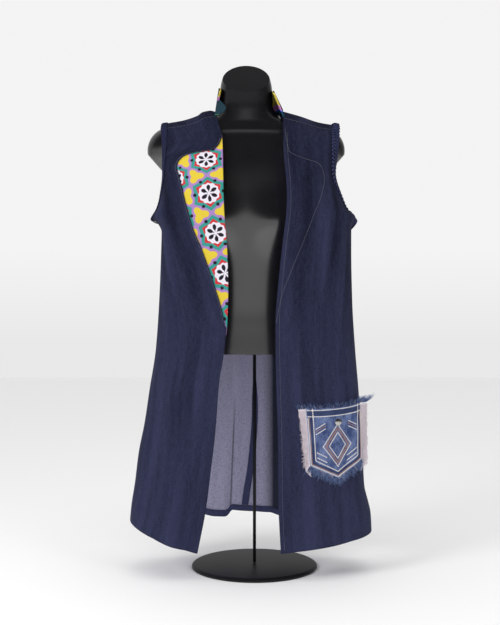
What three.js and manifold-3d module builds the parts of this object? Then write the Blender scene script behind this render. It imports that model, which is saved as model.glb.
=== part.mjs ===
// Long open denim vest on a smooth black torso form with a rod and a round base.
// Millimetres, +Z up, the fronts face -Y, +X is the wearer's left.
import * as THREE from 'three';
import { mergeVertices } from 'three/addons/utils/BufferGeometryUtils.js';
import Module from 'manifold-3d';

const wasm = await Module();
wasm.setup();

// Driving dimensions
const clothWall = 1.4;
const seamGap = 0.4;
const layerGap = 0.9;
const trimWall = 1.2;
const hemHeight = 56;
const seamHeight = 938;
const tipHeight = 729;
const formBottom = 448;
const formShift = -6;
const garmentShift = -11.5;
const baseRadius = 130;
const baseThickness = 8;
const rodRadius = 4;
const squareness = 3;

const group = new THREE.Group();
group.name = 'denim_vest';

function material(color, roughness, metalness = 0) {
  return new THREE.MeshStandardMaterial({ color, roughness, metalness });
}

function addPart(name, geometry, look) {
  const mesh = new THREE.Mesh(geometry, look);
  mesh.name = name;
  group.add(mesh);
}

// Smooth curve through a table's rows that never overshoots them
function curve(rows, key, column) {
  const xs = rows.map((row) => row[key]);
  const ys = rows.map((row) => row[column]);
  const last = xs.length - 1;
  const rise = [];
  for (let i = 0; i < last; i += 1) rise.push((ys[i + 1] - ys[i]) / (xs[i + 1] - xs[i]));
  const slope = ys.map((_, i) => {
    if (i === 0) return rise[0];
    if (i === last) return rise[last - 1];
    if (rise[i - 1] * rise[i] <= 0) return 0;
    return (2 * rise[i - 1] * rise[i]) / (rise[i - 1] + rise[i]);
  });
  return (x) => {
    if (x <= xs[0]) return ys[0] + slope[0] * (x - xs[0]);
    if (x >= xs[last]) return ys[last] + slope[last] * (x - xs[last]);
    let i = 0;
    while (x > xs[i + 1]) i += 1;
    const step = xs[i + 1] - xs[i];
    const t = (x - xs[i]) / step;
    const near = (1 + 2 * t) * (1 - t) ** 2 * ys[i] + t * (1 - t) ** 2 * step * slope[i];
    const far = t * t * (3 - 2 * t) * ys[i + 1] + t * t * (t - 1) * step * slope[i + 1];
    return near + far;
  };
}

function curves(rows, key, columns) {
  return Object.fromEntries(columns.map((column) => [column, curve(rows, key, column)]));
}

function mix(a, b, t) {
  return a + (b - a) * t;
}

function ease(t) {
  const s = Math.min(1, Math.max(0, t));
  return s * s * (3 - 2 * s);
}

function spread(from, to, count) {
  return Array.from({ length: count + 1 }, (_, i) => mix(from, to, i / count));
}

// Opening edges: distance from the vest's centre by height
const rightOpening = [
  { h: 56, x: 102 }, { h: 133, x: 87 }, { h: 207, x: 77 }, { h: 298, x: 66.5 }, { h: 398, x: 58.5 },
  { h: 449, x: 50 }, { h: 513, x: 44 }, { h: 577, x: 42 }, { h: 656, x: 44 }, { h: 734, x: 50 },
  { h: 853, x: 53 }, { h: 889, x: 55 }, { h: 938, x: 67 },
];
const leftOpening = [
  { h: 56, x: 63 }, { h: 151, x: 58.5 }, { h: 298, x: 57 }, { h: 360, x: 55 }, { h: 449, x: 53 },
  { h: 511, x: 52.5 }, { h: 577, x: 57 }, { h: 656, x: 65 }, { h: 762, x: 75.5 }, { h: 874, x: 69.5 },
  { h: 938, x: 70 },
];

// Side seams below the tip and armhole edges above it
const rightSide = [
  { h: 56, x: 250 }, { h: 122, x: 247 }, { h: 173, x: 239 }, { h: 240, x: 229 }, { h: 307, x: 216 },
  { h: 374, x: 206 }, { h: 458, x: 193 }, { h: 559, x: 186 }, { h: 660, x: 182 }, { h: 700, x: 181 },
  { h: 716, x: 188 }, { h: 729, x: 200 }, { h: 748, x: 191 }, { h: 772, x: 183 }, { h: 821, x: 176 },
  { h: 866, x: 176 }, { h: 938, x: 181 },
];
const leftSide = [
  { h: 56, x: 254 }, { h: 97, x: 252 }, { h: 122, x: 248 }, { h: 173, x: 239 }, { h: 230, x: 236 },
  { h: 374, x: 227 }, { h: 458, x: 220 }, { h: 559, x: 214 }, { h: 660, x: 212 }, { h: 703, x: 212 },
  { h: 716, x: 216 }, { h: 729, x: 221 }, { h: 748, x: 204 }, { h: 772, x: 192 }, { h: 821, x: 176 },
  { h: 866, x: 181 }, { h: 938, x: 186 },
];

// Depth of the fronts at the opening and at the side, and how far a section turns to the side
const frontRows = [
  { h: 56, inY: -122, outY: 0, inZ: 56, outZ: 56, turn: 1 },
  { h: 449, inY: -116, outY: 0, inZ: 449, outZ: 449, turn: 1 },
  { h: 700, inY: -114, outY: 0, inZ: 700, outZ: 700, turn: 1 },
  { h: 729, inY: -114, outY: 0, inZ: 729, outZ: 729, turn: 0.96 },
  { h: 748, inY: -114, outY: -24, inZ: 748, outZ: 744, turn: 0.85 },
  { h: 772, inY: -113, outY: -39, inZ: 772, outZ: 768, turn: 0.75 },
  { h: 821, inY: -107, outY: -50, inZ: 821, outZ: 819, turn: 0.62 },
  { h: 856, inY: -90, outY: -50, inZ: 856, outZ: 853, turn: 0.55 },
  { h: 889, inY: -70, outY: -45, inZ: 889, outZ: 881, turn: 0.5 },
  { h: 915, inY: -50, outY: -37, inZ: 915, outZ: 900, turn: 0.45 },
  { h: 938, inY: -30, outY: -27, inZ: 938, outZ: 915, turn: 0.4 },
  { h: 966, inY: 2, outY: 0, inZ: 954, outZ: 928, turn: 0.4 },
];

// The backs, from the hem over the shoulder's ridge to the shoulder seam
const backRows = [
  { h: 56, inY: 104, outY: 0, outZ: 56, turn: 1 },
  { h: 449, inY: 101, outY: 0, outZ: 449, turn: 1 },
  { h: 700, inY: 100, outY: 0, outZ: 700, turn: 1 },
  { h: 729, inY: 99, outY: 0, outZ: 729, turn: 0.96 },
  { h: 748, inY: 98.5, outY: 24, outZ: 744, turn: 0.85 },
  { h: 780, inY: 98, outY: 40, outZ: 776, turn: 0.75 },
  { h: 830, inY: 94, outY: 47, outZ: 826, turn: 0.65 },
  { h: 880, inY: 86, outY: 45, outZ: 868, turn: 0.55 },
  { h: 915, inY: 78, outY: 36, outZ: 899, turn: 0.45 },
  { h: 942, inY: 70, outY: 22, outZ: 917, turn: 0.4 },
  { h: 966, inY: 2, outY: 0, outZ: 928, turn: 0.4 },
  { h: 994, inY: -30, outY: -27, outZ: 915, turn: 0.4 },
  { h: 1017, inY: -50, outY: -37, outZ: 900, turn: 0.4 },
];
const backNeckHeight = 942;
const backSeamHeight = 994;

// Neckline from the centre back to the front end of the shoulder seam, by the back's height rows
const neckRows = [
  { h: 942, x: 0, y: 70, z: 942 },
  { h: 949, x: 34, y: 61, z: 945 },
  { h: 957, x: 62, y: 33, z: 951 },
  { h: 966, x: 72, y: 2, z: 954 },
  { h: 994, x: 67, y: -30, z: 938 },
  { h: 1017, x: 60, y: -50, z: 915 },
];

const frontDepth = curves(frontRows, 'h', ['inY', 'outY', 'inZ', 'outZ', 'turn']);
const backDepth = curves(backRows, 'h', ['inY', 'outY', 'outZ', 'turn']);
const neck = curves(neckRows, 'h', ['x', 'y', 'z']);
const seamDrift = curve([{ h: 96, x: -7 }, { h: 323, x: 13 }, { h: 700, x: 2 }, { h: 942, x: 0 }], 'h', 'x');

const sides = {
  right: { sign: -1, inX: curve(rightOpening, 'h', 'x'), outX: curve(rightSide, 'h', 'x'), hemRise: 51 },
  left: { sign: 1, inX: curve(leftOpening, 'h', 'x'), outX: curve(leftSide, 'h', 'x'), hemRise: 28 },
};
const hemFade = 150;
const backHemRise = 40;

// Largest folds: valleys have positive depth, ridges negative
const frontFolds = [
  { side: 'right', topH: 850, topX: 148, lowH: 540, lowX: 146, width: 13, depth: 6 },
  { side: 'right', topH: 690, topX: 110, lowH: 440, lowX: 110, width: 16, depth: 5 },
  { side: 'right', topH: 470, topX: 172, lowH: 120, lowX: 212, width: 17, depth: 8 },
  { side: 'right', topH: 430, topX: 146, lowH: 60, lowX: 158, width: 20, depth: -7 },
  { side: 'right', topH: 400, topX: 106, lowH: 60, lowX: 124, width: 15, depth: 6 },
  { side: 'left', topH: 690, topX: 150, lowH: 380, lowX: 165, width: 22, depth: 4 },
  { side: 'left', topH: 330, topX: 190, lowH: 60, lowX: 205, width: 22, depth: 5 },
];
const backFolds = [
  { side: 'right', topH: 520, topX: 24, lowH: 60, lowX: 40, width: 13, depth: -7 },
  { side: 'right', topH: 640, topX: 120, lowH: 90, lowX: 150, width: 24, depth: 9 },
  { side: 'left', topH: 640, topX: 110, lowH: 90, lowX: 140, width: 24, depth: 9 },
];
const foldEnd = 70;

function foldAt(folds, sideName, x, h) {
  let sum = 0;
  for (const fold of folds) {
    if (fold.side !== sideName) continue;
    const line = mix(fold.lowX, fold.topX, (h - fold.lowH) / (fold.topH - fold.lowH));
    const across = Math.exp(-(((x - line) / fold.width) ** 2));
    const along = ease((fold.topH - h) / foldEnd) * ease((h - fold.lowH + foldEnd) / foldEnd);
    sum += fold.depth * across * along;
  }
  return sum;
}

// Squarish quarter turn from the front or back plane to the side
function quarterTurn(q, turn) {
  const at = (angle) => {
    const s = Math.sin(angle);
    const c = Math.cos(angle);
    const reach = (s ** squareness + c ** squareness) ** (-1 / squareness);
    return [reach * s, 1 - reach * c];
  };
  const full = (turn * Math.PI) / 2;
  const here = at(q * full);
  const end = at(full);
  return [here[0] / end[0], here[1] / end[1]];
}

// Place along a section whose part of the width is given
function placeOf(part, turn) {
  const full = (turn * Math.PI) / 2;
  const endReach = quarterReach(full);
  const g = Math.min(0.9999, Math.max(0.0001, part * endReach));
  return Math.atan2(1, (g ** -squareness - 1) ** (1 / squareness)) / full;
}

function quarterReach(angle) {
  const s = Math.sin(angle);
  const c = Math.cos(angle);
  return s / (s ** squareness + c ** squareness) ** (1 / squareness);
}

// A point of a front: q runs from the opening to the side or armhole, h up from the hem
function frontPoint(sideName, q, h) {
  const side = sides[sideName];
  const turn = frontDepth.turn(h);
  const [across, back] = quarterTurn(q, turn);
  const x = mix(side.inX(h), side.outX(h), across);
  const depth = mix(frontDepth.inY(h), frontDepth.outY(h), back);
  const dent = foldAt(frontFolds, sideName, x, h) * (1 - back);
  const hem = side.hemRise * Math.max(0, across) ** 1.3 * ease((hemHeight + hemFade - h) / hemFade);
  const z = mix(frontDepth.inZ(h), frontDepth.outZ(h), across) + hem;
  return new THREE.Vector3(side.sign * x, depth + dent, z);
}

function frontPlace(sideName, x, h) {
  const side = sides[sideName];
  const part = (x - side.inX(h)) / (side.outX(h) - side.inX(h));
  return placeOf(part, frontDepth.turn(h));
}

// A point of a back: q runs from the centre-back seam or the neckline to the side or armhole
function backPoint(sideName, q, h) {
  const side = sides[sideName];
  const onNeck = h > backNeckHeight;
  const inX = onNeck ? neck.x(h) : side.sign * seamDrift(h);
  const inY = onNeck ? neck.y(h) : backDepth.inY(h);
  const inZ = onNeck ? neck.z(h) : h;
  const outX = side.outX(Math.min(h, seamHeight));
  const [across, front] = quarterTurn(q, backDepth.turn(h));
  const x = mix(inX, outX, across);
  const depth = mix(inY, backDepth.outY(h), front);
  const dent = foldAt(backFolds, sideName, x, h) * (1 - front);
  const fade = ease((hemHeight + hemFade - h) / hemFade);
  const hem = mix(backHemRise, side.hemRise, across) * fade;
  const z = mix(inZ, backDepth.outZ(h), across) + hem;
  return new THREE.Vector3(side.sign * x, depth - dent, z);
}

// Outward normal of a surface at one place
function normalAt(surface, u, v) {
  const small = 0.002;
  const along = surface(u + small, v).sub(surface(u - small, v));
  const up = surface(u, v + small).sub(surface(u, v - small));
  return along.cross(up).normalize();
}

function geometryOf(points, triangles) {
  const flat = new Float32Array(points.length * 3);
  points.forEach((point, i) => flat.set([point.x, point.y, point.z], i * 3));
  let volume = 0;
  for (const [a, b, c] of triangles) {
    volume += points[a].dot(new THREE.Vector3().crossVectors(points[b], points[c]));
  }
  const faces = volume < 0 ? triangles.map(([a, b, c]) => [a, c, b]) : triangles;
  const geometry = new THREE.BufferGeometry();
  geometry.setAttribute('position', new THREE.BufferAttribute(flat, 3));
  geometry.setIndex(faces.flat());
  geometry.computeVertexNormals();
  return geometry;
}

// A closed wall on a surface given over u and v, between two distances from it
function wall(surface, us, vs, inner, outer, away) {
  const points = [];
  const normals = us.map((u) => vs.map((v) => normalAt(surface, u, v)));
  const middleU = us[Math.floor(us.length / 2)];
  const middleV = vs[Math.floor(vs.length / 2)];
  const middle = surface(middleU, middleV);
  const outward = new THREE.Vector3().subVectors(middle, away(middle));
  const sign = normalAt(surface, middleU, middleV).dot(outward) < 0 ? -1 : 1;
  for (const distance of [outer, inner]) {
    us.forEach((u, i) => {
      vs.forEach((v, j) => {
        points.push(surface(u, v).addScaledVector(normals[i][j], sign * distance));
      });
    });
  }
  const rows = us.length;
  const columns = vs.length;
  const id = (layer, i, j) => layer * rows * columns + i * columns + j;
  const triangles = [];
  const quad = (a, b, c, d) => triangles.push([a, b, c], [a, c, d]);
  for (let i = 0; i < rows - 1; i += 1) {
    for (let j = 0; j < columns - 1; j += 1) {
      quad(id(0, i, j), id(0, i + 1, j), id(0, i + 1, j + 1), id(0, i, j + 1));
      quad(id(1, i, j), id(1, i, j + 1), id(1, i + 1, j + 1), id(1, i + 1, j));
    }
  }
  for (let i = 0; i < rows - 1; i += 1) {
    quad(id(0, i, 0), id(1, i, 0), id(1, i + 1, 0), id(0, i + 1, 0));
    quad(id(0, i, columns - 1), id(0, i + 1, columns - 1), id(1, i + 1, columns - 1), id(1, i, columns - 1));
  }
  for (let j = 0; j < columns - 1; j += 1) {
    quad(id(0, 0, j), id(0, 0, j + 1), id(1, 0, j + 1), id(1, 0, j));
    quad(id(0, rows - 1, j), id(1, rows - 1, j), id(1, rows - 1, j + 1), id(0, rows - 1, j + 1));
  }
  return geometryOf(points, triangles);
}

const garmentAxis = (point) => new THREE.Vector3(0, 0, point.z - 20);

const denim = { outer: clothWall / 2, inner: -clothWall / 2 };
const under = { outer: -clothWall / 2 - layerGap, inner: -clothWall / 2 - layerGap - trimWall };
const onTop = { outer: clothWall / 2 + layerGap + trimWall, inner: clothWall / 2 + layerGap };
const seamPlace = 0.0015;
const centrePlace = 0.0008;

// Outline of the printed lapel: where the denim's cut edge lies, and how far the print reaches under it
const lapelOutline = [
  { h: 500, x: 46 }, { h: 540, x: 54 }, { h: 584, x: 67.5 }, { h: 658, x: 93 }, { h: 706, x: 113 },
  { h: 770, x: 130 }, { h: 815, x: 142 }, { h: 826, x: 145.5 }, { h: 837, x: 143 }, { h: 848, x: 134 },
  { h: 853, x: 124 }, { h: 857, x: 108 }, { h: 860, x: 81 }, { h: 864, x: 69 }, { h: 875, x: 60 },
  { h: 889, x: 55 },
];
const printReach = [
  { h: 488, x: 55 }, { h: 530, x: 64 }, { h: 584, x: 77 }, { h: 658, x: 102 }, { h: 706, x: 122 },
  { h: 770, x: 139 }, { h: 815, x: 151 }, { h: 828, x: 154.5 }, { h: 844, x: 152 }, { h: 856, x: 142 },
  { h: 864, x: 124 }, { h: 869, x: 92 }, { h: 876, x: 76 }, { h: 886, x: 68 }, { h: 896, x: 63 },
];
const outlineX = curve(lapelOutline, 'h', 'x');
const reachX = curve(printReach, 'h', 'x');
const lapelFoot = 505;
const lapelHead = 889;

const heights = [
  hemHeight, 75, 100, 130, 165, 205, 250, 300, 350, 400, 450, 500, 550, 600, 650, 695, 712, 722, 729,
  737, 748, 760, 772, 795, 821, 840, 856, 872, 889, 902, 915, 927, seamHeight - seamGap / 2,
];
const lapelHeights = [
  hemHeight, 75, 100, 130, 165, 205, 250, 300, 350, 400, 450, 505, 550, 600, 650, 695, 712, 722, 729,
  737, 748, 760, 772, 795, 815, 826, 837, 844, 849, 853, 856, 858.5, 860, 862, 865, 870, 878, 889,
  902, 915, 927, seamHeight - seamGap / 2,
];
const backHeights = [
  hemHeight, 80, 110, 150, 200, 260, 320, 380, 440, 500, 560, 620, 680, 712, 722, 729, 737, 748, 765,
  790, 825, 860, 890, 915, 930, 942, 949, 957, 966, 975, 985, backSeamHeight - seamGap / 2,
];
const panelColumns = 14;

function frontPanel(sideName, rows, cutPlace) {
  const surface = (s, h) => frontPoint(sideName, mix(cutPlace(h), 1 - seamPlace, s), h);
  return wall(surface, spread(0, 1, panelColumns), rows, denim.inner, denim.outer, garmentAxis);
}

function backPanel(sideName) {
  const surface = (s, h) => backPoint(sideName, mix(centrePlace, 1 - seamPlace, s), h);
  return wall(surface, spread(0, 1, panelColumns), backHeights, denim.inner, denim.outer, garmentAxis);
}

function lapelPlace(h) {
  if (h <= lapelFoot || h >= lapelHead) return 0;
  return frontPlace('right', outlineX(h), h);
}

function lapelPrint() {
  const surface = (s, h) => frontPoint('right', mix(0, frontPlace('right', reachX(h), h), s), h);
  const rows = [
    488, 510, 530, 555, 584, 620, 658, 685, 706, 730, 750, 770, 795, 815, 828, 837, 844, 850, 856, 860,
    864, 867, 870, 876, 886, 896,
  ];
  return wall(surface, spread(0, 1, 7), rows, under.inner, under.outer, garmentAxis);
}

// Stand collar: from the wearer's right front end round the back to the left end
const collarRows = [
  { c: 0, lowX: -68, lowY: -32, lowZ: 939, topX: -67, topY: -36, topZ: 995 },
  { c: 0.16, lowX: -73, lowY: 0, lowZ: 956, topX: -67, topY: -3, topZ: 1003 },
  { c: 0.32, lowX: -62, lowY: 34, lowZ: 953, topX: -60, topY: 34, topZ: 1003 },
  { c: 0.5, lowX: 0, lowY: 70, lowZ: 944, topX: 0, topY: 66, topZ: 1001 },
  { c: 0.68, lowX: 62, lowY: 34, lowZ: 953, topX: 56, topY: 34, topZ: 1002 },
  { c: 0.84, lowX: 73, lowY: 0, lowZ: 956, topX: 60, topY: -3, topZ: 1000 },
  { c: 1, lowX: 70, lowY: -32, lowZ: 938, topX: 50, topY: -40, topZ: 991 },
];
const collar = curves(collarRows, 'c', ['lowX', 'lowY', 'lowZ', 'topX', 'topY', 'topZ']);
const collarRoom = 2.2;

function collarPoint(c, t) {
  const z = mix(collar.lowZ(c), collar.topZ(c), t) + collarRoom * (1 - t);
  return new THREE.Vector3(mix(collar.lowX(c), collar.topX(c), t), mix(collar.lowY(c), collar.topY(c), t), z);
}

function collarLayer(layer, endRoom) {
  const us = spread(endRoom, 1 - endRoom, 24);
  return wall(collarPoint, us, spread(0, 1, 3), layer.inner, layer.outer, garmentAxis);
}

// Corner of the right collar end, folded in towards the neck
const cornerRows = [
  { v: 0, outX: -67, inX: -62, y: -35.2, z: 973 },
  { v: 0.45, outX: -67, inX: -47, y: -34.1, z: 957 },
  { v: 1, outX: -67, inX: -60, y: -33.1, z: 942 },
];
const cornerLean = 8;
const corner = curves(cornerRows, 'v', ['outX', 'inX', 'y', 'z']);

function collarCorner() {
  const surface = (u, v) => {
    const x = mix(corner.outX(v), corner.inX(v), u);
    return new THREE.Vector3(x, corner.y(v) - cornerLean * u, corner.z(v));
  };
  const behind = (point) => new THREE.Vector3(point.x, 0, point.z);
  return wall(surface, spread(0, 1, 3), spread(0, 1, 6), -trimWall / 2, trimWall / 2, behind);
}

// Stitched band round an armhole, lying on the outside of front and back
const bandWidth = 11;
const bandTurnHeight = 24;
const bandLift = 0.5;
const tipLift = 4.4;
const placeStep = 0.004;

// Place on a section a given distance in from its outer end
function placeInward(surface, h, room) {
  const edge = surface(1 - seamPlace, h);
  let q = 1 - seamPlace;
  while (q > 0 && surface(q, h).distanceTo(edge) < room) q -= placeStep;
  return q;
}

function bandSection(surface, h) {
  const sideways = ease((h - tipHeight) / bandTurnHeight);
  const lowH = h - bandWidth * (1 - sideways);
  const lift = bandLift + tipLift * (1 - sideways);
  const edge = { q: 1 - seamPlace, h };
  const far = { q: placeInward(surface, lowH, bandWidth * sideways), h: lowH };
  return [
    { ...edge, distance: onTop.inner + lift }, { ...edge, distance: onTop.outer + lift },
    { ...far, distance: onTop.outer + lift }, { ...far, distance: onTop.inner + lift },
  ].map((spot) => {
    const point = surface(spot.q, spot.h);
    const normal = normalAt(surface, spot.q, spot.h);
    const outward = point.clone().sub(garmentAxis(point));
    return point.addScaledVector(normal, spot.distance * Math.sign(normal.dot(outward)));
  });
}

function armholeBand(sideName) {
  const front = (q, h) => frontPoint(sideName, q, h);
  const back = (q, h) => backPoint(sideName, q, h);
  const frontHs = [730.5, 732, 734, 737, 742, 748, 760, 772, 784, 795, 808, 821, 840, 856, 872, 889, 902, 915, 927];
  const backHs = [994, 985, 975, 966, 957, 949, 942, 930, 915, 890, 860, 825, 790, 765, 748, 742, 737, 733, 730.5];
  const sections = [
    ...frontHs.map((h) => bandSection(front, h)),
    ...backHs.map((h) => bandSection(back, h)),
  ];
  const points = sections.flat();
  const triangles = [];
  sections.forEach((_, i) => {
    const next = ((i + 1) % sections.length) * 4;
    for (let k = 0; k < 4; k += 1) {
      const other = (k + 1) % 4;
      triangles.push([i * 4 + k, next + k, next + other], [i * 4 + k, next + other, i * 4 + other]);
    }
  });
  return geometryOf(points, triangles);
}

// Turned hem and the centre-back seam allowance, both inside the back
const hemTurn = 12;
const seamSpread = 6;

function backHemBand() {
  const reach = 0.93;
  const surface = (s, h) => {
    const sideName = s < 0 ? 'right' : 'left';
    return backPoint(sideName, Math.max(centrePlace, Math.abs(s) * reach), h);
  };
  const us = spread(-1, 1, 28);
  const rows = [hemHeight + 0.5, hemHeight + hemTurn];
  return wall(surface, us, rows, under.inner - seamGap, under.outer - seamGap, garmentAxis);
}

function centreBackSeam() {
  const surface = (s, h) => {
    const x = Math.abs(s) * seamSpread * ease((430 - h) / 120 + 0.15);
    return backPoint(s < 0 ? 'right' : 'left', placeOf(Math.max(0.001, x / 200), 1), h);
  };
  const us = [-1, -0.5, 0.5, 1];
  const hs = spread(hemHeight + hemTurn + 1, 415, 12);
  return wall(surface, us, hs, under.inner, under.outer, garmentAxis);
}

// Patch pocket: a runs across from its middle, b down from its top edge
const pocketMiddleArc = 118;
const pocketTop = 354;
const pocketHalf = 62;
const pocketSideDrop = 128;
const pocketPointDrop = 30;
const pocketTilt = 0.1;
const stripWidth = 15;

function pocketPoint(a, b) {
  const h = pocketTop - b + a * pocketTilt;
  const reach = Math.min(a, pocketHalf);
  const target = pocketMiddleArc + reach;
  let length = 0;
  let q = 0;
  let before = frontPoint('left', 0, h);
  const steps = 80;
  for (let i = 1; i <= steps; i += 1) {
    const here = frontPoint('left', i / steps, h);
    const step = here.distanceTo(before);
    if (length + step >= target) {
      q = (i - 1 + (target - length) / step) / steps;
      break;
    }
    length += step;
    before = here;
  }
  const point = frontPoint('left', q, h);
  const lift = 5 * ease((reach - 10) / 48);
  point.x += lift * 0.6;
  point.y -= lift * 0.8;
  const free = a - reach;
  point.x += free * 0.95;
  point.y += free * 0.3;
  return point;
}

function pocketOut(a, b, distance) {
  const normal = normalAt(pocketPoint, a, b);
  const point = pocketPoint(a, b);
  return point.addScaledVector(normal, -distance * Math.sign(normal.y));
}

const pocketAway = (point) => new THREE.Vector3(point.x - 30, 0, point.z);

function pocketPiece(us, vs, place) {
  const surface = (u, v) => {
    const spot = place(u, v);
    return pocketPoint(spot.a, spot.b);
  };
  return wall(surface, us, vs, onTop.inner, onTop.outer, pocketAway);
}

function pocketPatch() {
  const place = (u, v) => ({
    a: u * pocketHalf,
    b: v * (pocketSideDrop + pocketPointDrop * (1 - Math.abs(u))),
  });
  return pocketPiece(spread(-1, 1, 12), spread(0, 1, 8), place);
}

function pocketStrip(hand, gap) {
  const place = (u, v) => ({
    a: hand * (pocketHalf + gap + u * (stripWidth - gap)),
    b: 2 + v * (pocketSideDrop - 8),
  });
  return pocketPiece(spread(0, 1, 2), spread(0, 1, 10), place);
}

function toManifold(geometry) {
  geometry.deleteAttribute('normal');
  geometry.deleteAttribute('uv');
  const merged = mergeVertices(geometry);
  return new wasm.Manifold(new wasm.Mesh({
    numProp: 3,
    vertProperties: new Float32Array(merged.attributes.position.array),
    triVerts: new Uint32Array(merged.index.array),
  }));
}

function fromManifold(solid) {
  const mesh = solid.getMesh();
  const geometry = new THREE.BufferGeometry();
  geometry.setAttribute('position', new THREE.BufferAttribute(new Float32Array(mesh.vertProperties), 3));
  geometry.setIndex(Array.from(mesh.triVerts));
  geometry.computeVertexNormals();
  return geometry;
}

// Small repeatable variation between strands
function vary(i, k) {
  const value = Math.sin(i * 12.9898 + k * 78.233) * 43758.5453;
  return value - Math.floor(value);
}

function strand(root, tip, thick) {
  const direction = tip.clone().sub(root).normalize();
  const side = new THREE.Vector3(0, 1, 0).cross(direction).normalize();
  const other = direction.clone().cross(side);
  const points = [];
  for (const [centre, radius] of [[root, thick], [tip, thick * 0.5]]) {
    for (let k = 0; k < 3; k += 1) {
      const angle = (k * 2 * Math.PI) / 3;
      const spoke = side.clone().multiplyScalar(Math.cos(angle)).addScaledVector(other, Math.sin(angle));
      points.push(centre.clone().addScaledVector(spoke, radius));
    }
  }
  const triangles = [[0, 2, 1], [3, 4, 5]];
  for (let k = 0; k < 3; k += 1) {
    const n = (k + 1) % 3;
    triangles.push([k, n, n + 3], [k, n + 3, k + 3]);
  }
  return geometryOf(points, triangles);
}

// Frayed edge: a narrow backing strip along a pocket edge with strands standing out of it
function pocketFringe(count, backing, rootOf, tipOf, seed) {
  const middle = (onTop.inner + onTop.outer) / 2;
  let solid = toManifold(backing);
  for (let i = 0; i < count; i += 1) {
    const part = (i + 0.5) / count;
    const root = rootOf(part);
    const tip = tipOf(part, i + seed);
    const rootPoint = pocketOut(root.a, root.b, middle);
    const tipPoint = pocketOut(tip.a, tip.b, middle + 1.5 + 2 * vary(i, 3));
    solid = solid.add(toManifold(strand(rootPoint, tipPoint, 0.45)));
  }
  return fromManifold(solid);
}

const fringeBack = 3;

function topFringe() {
  const width = pocketHalf + stripWidth - 2;
  const place = (u, v) => ({ a: u * width, b: -seamGap - fringeBack * v });
  const backing = pocketPiece(spread(-1, 1, 14), [0, 1], place);
  const rootOf = (part) => ({ a: mix(-width + 2, width - 2, part), b: -seamGap - fringeBack * 0.5 });
  const tipOf = (part, i) => ({
    a: mix(-width + 2, width - 2, part) + 7 * (vary(i, 1) - 0.5),
    b: -seamGap - fringeBack - 5 - 6 * vary(i, 2),
  });
  return pocketFringe(36, backing, rootOf, tipOf, 0);
}

function bottomFringe() {
  const drop = (a) => pocketSideDrop + pocketPointDrop * (1 - Math.abs(a) / pocketHalf) + seamGap * 1.5;
  const place = (u, v) => ({ a: u * pocketHalf, b: drop(u * pocketHalf) + fringeBack * v });
  const backing = pocketPiece(spread(-1, 1, 12), [0, 1], place);
  const rootOf = (part) => {
    const a = mix(-pocketHalf + 2, pocketHalf - 2, part);
    return { a, b: drop(a) + fringeBack * 0.5 };
  };
  const tipOf = (part, i) => {
    const a = mix(-pocketHalf + 2, pocketHalf - 2, part);
    return { a: a + 8 * (vary(i, 1) - 0.5), b: drop(a) + fringeBack + 6 + 8 * vary(i, 2) };
  };
  return pocketFringe(40, backing, rootOf, tipOf, 7);
}

function pocketStud() {
  const spot = pocketOut(2, 40, onTop.outer + seamGap);
  const normal = pocketOut(2, 40, 1).sub(pocketPoint(2, 40));
  const profile = [
    [0, 0], [7, 0], [7.4, 0.7], [6.6, 1.8], [4.6, 2.9], [2.3, 3.5], [0, 3.7],
  ].map(([r, y]) => new THREE.Vector2(r, y));
  const dome = new THREE.LatheGeometry(profile, 20);
  dome.applyQuaternion(new THREE.Quaternion().setFromUnitVectors(new THREE.Vector3(0, 1, 0), normal));
  dome.translate(spot.x, spot.y, spot.z);
  return dome;
}

// Form: horizontal rings, flat below, with shoulder ends cut at a slant and a slanted oval neck cap
const formRows = [
  { z: 448, half: 148, front: 90, back: 82 },
  { z: 500, half: 138, front: 86, back: 76 },
  { z: 560, half: 126, front: 80, back: 70 },
  { z: 620, half: 124, front: 78, back: 70 },
  { z: 690, half: 134, front: 82, back: 76 },
  { z: 740, half: 142, front: 86, back: 82 },
  { z: 785, half: 148, front: 86, back: 85 },
  { z: 830, half: 146, front: 80, back: 80 },
  { z: 870, half: 142, front: 64, back: 72 },
  { z: 900, half: 140, front: 50, back: 62 },
  { z: 916, half: 132, front: 42, back: 54 },
  { z: 928, half: 106, front: 40, back: 50 },
  { z: 940, half: 76, front: 42, back: 50 },
  { z: 952, half: 60, front: 45, back: 50 },
  { z: 968, half: 54, front: 47, back: 50 },
  { z: 1050, half: 53, front: 52, back: 52 },
];
const dome = { z: 991, rise: 59, capY: -26.5, capZ: 1016, capTilt: 0.8 };
const bust = { x: 68, z: 785, reach: 44, height: 50, depth: 22 };
const ringCount = 32;

function formRing(form, z) {
  const shrink = Math.sqrt(1 - Math.max(0, (z - dome.z) / dome.rise) ** 2);
  return Array.from({ length: ringCount }, (_, i) => {
    const angle = (i / ringCount) * 2 * Math.PI;
    const x = shrink * form.half(z) * Math.sin(angle);
    const front = Math.cos(angle) > 0;
    const flat = shrink * (front ? form.front(z) : form.back(z));
    let y = -flat * Math.cos(angle);
    if (front) {
      const across = Math.exp(-(((Math.abs(x) - bust.x) / bust.reach) ** 2));
      const up = Math.exp(-(((z - bust.z) / bust.height) ** 2));
      y -= bust.depth * across * up * Math.cos(angle) ** 0.5;
    }
    return new THREE.Vector3(x, y, z);
  });
}

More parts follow.
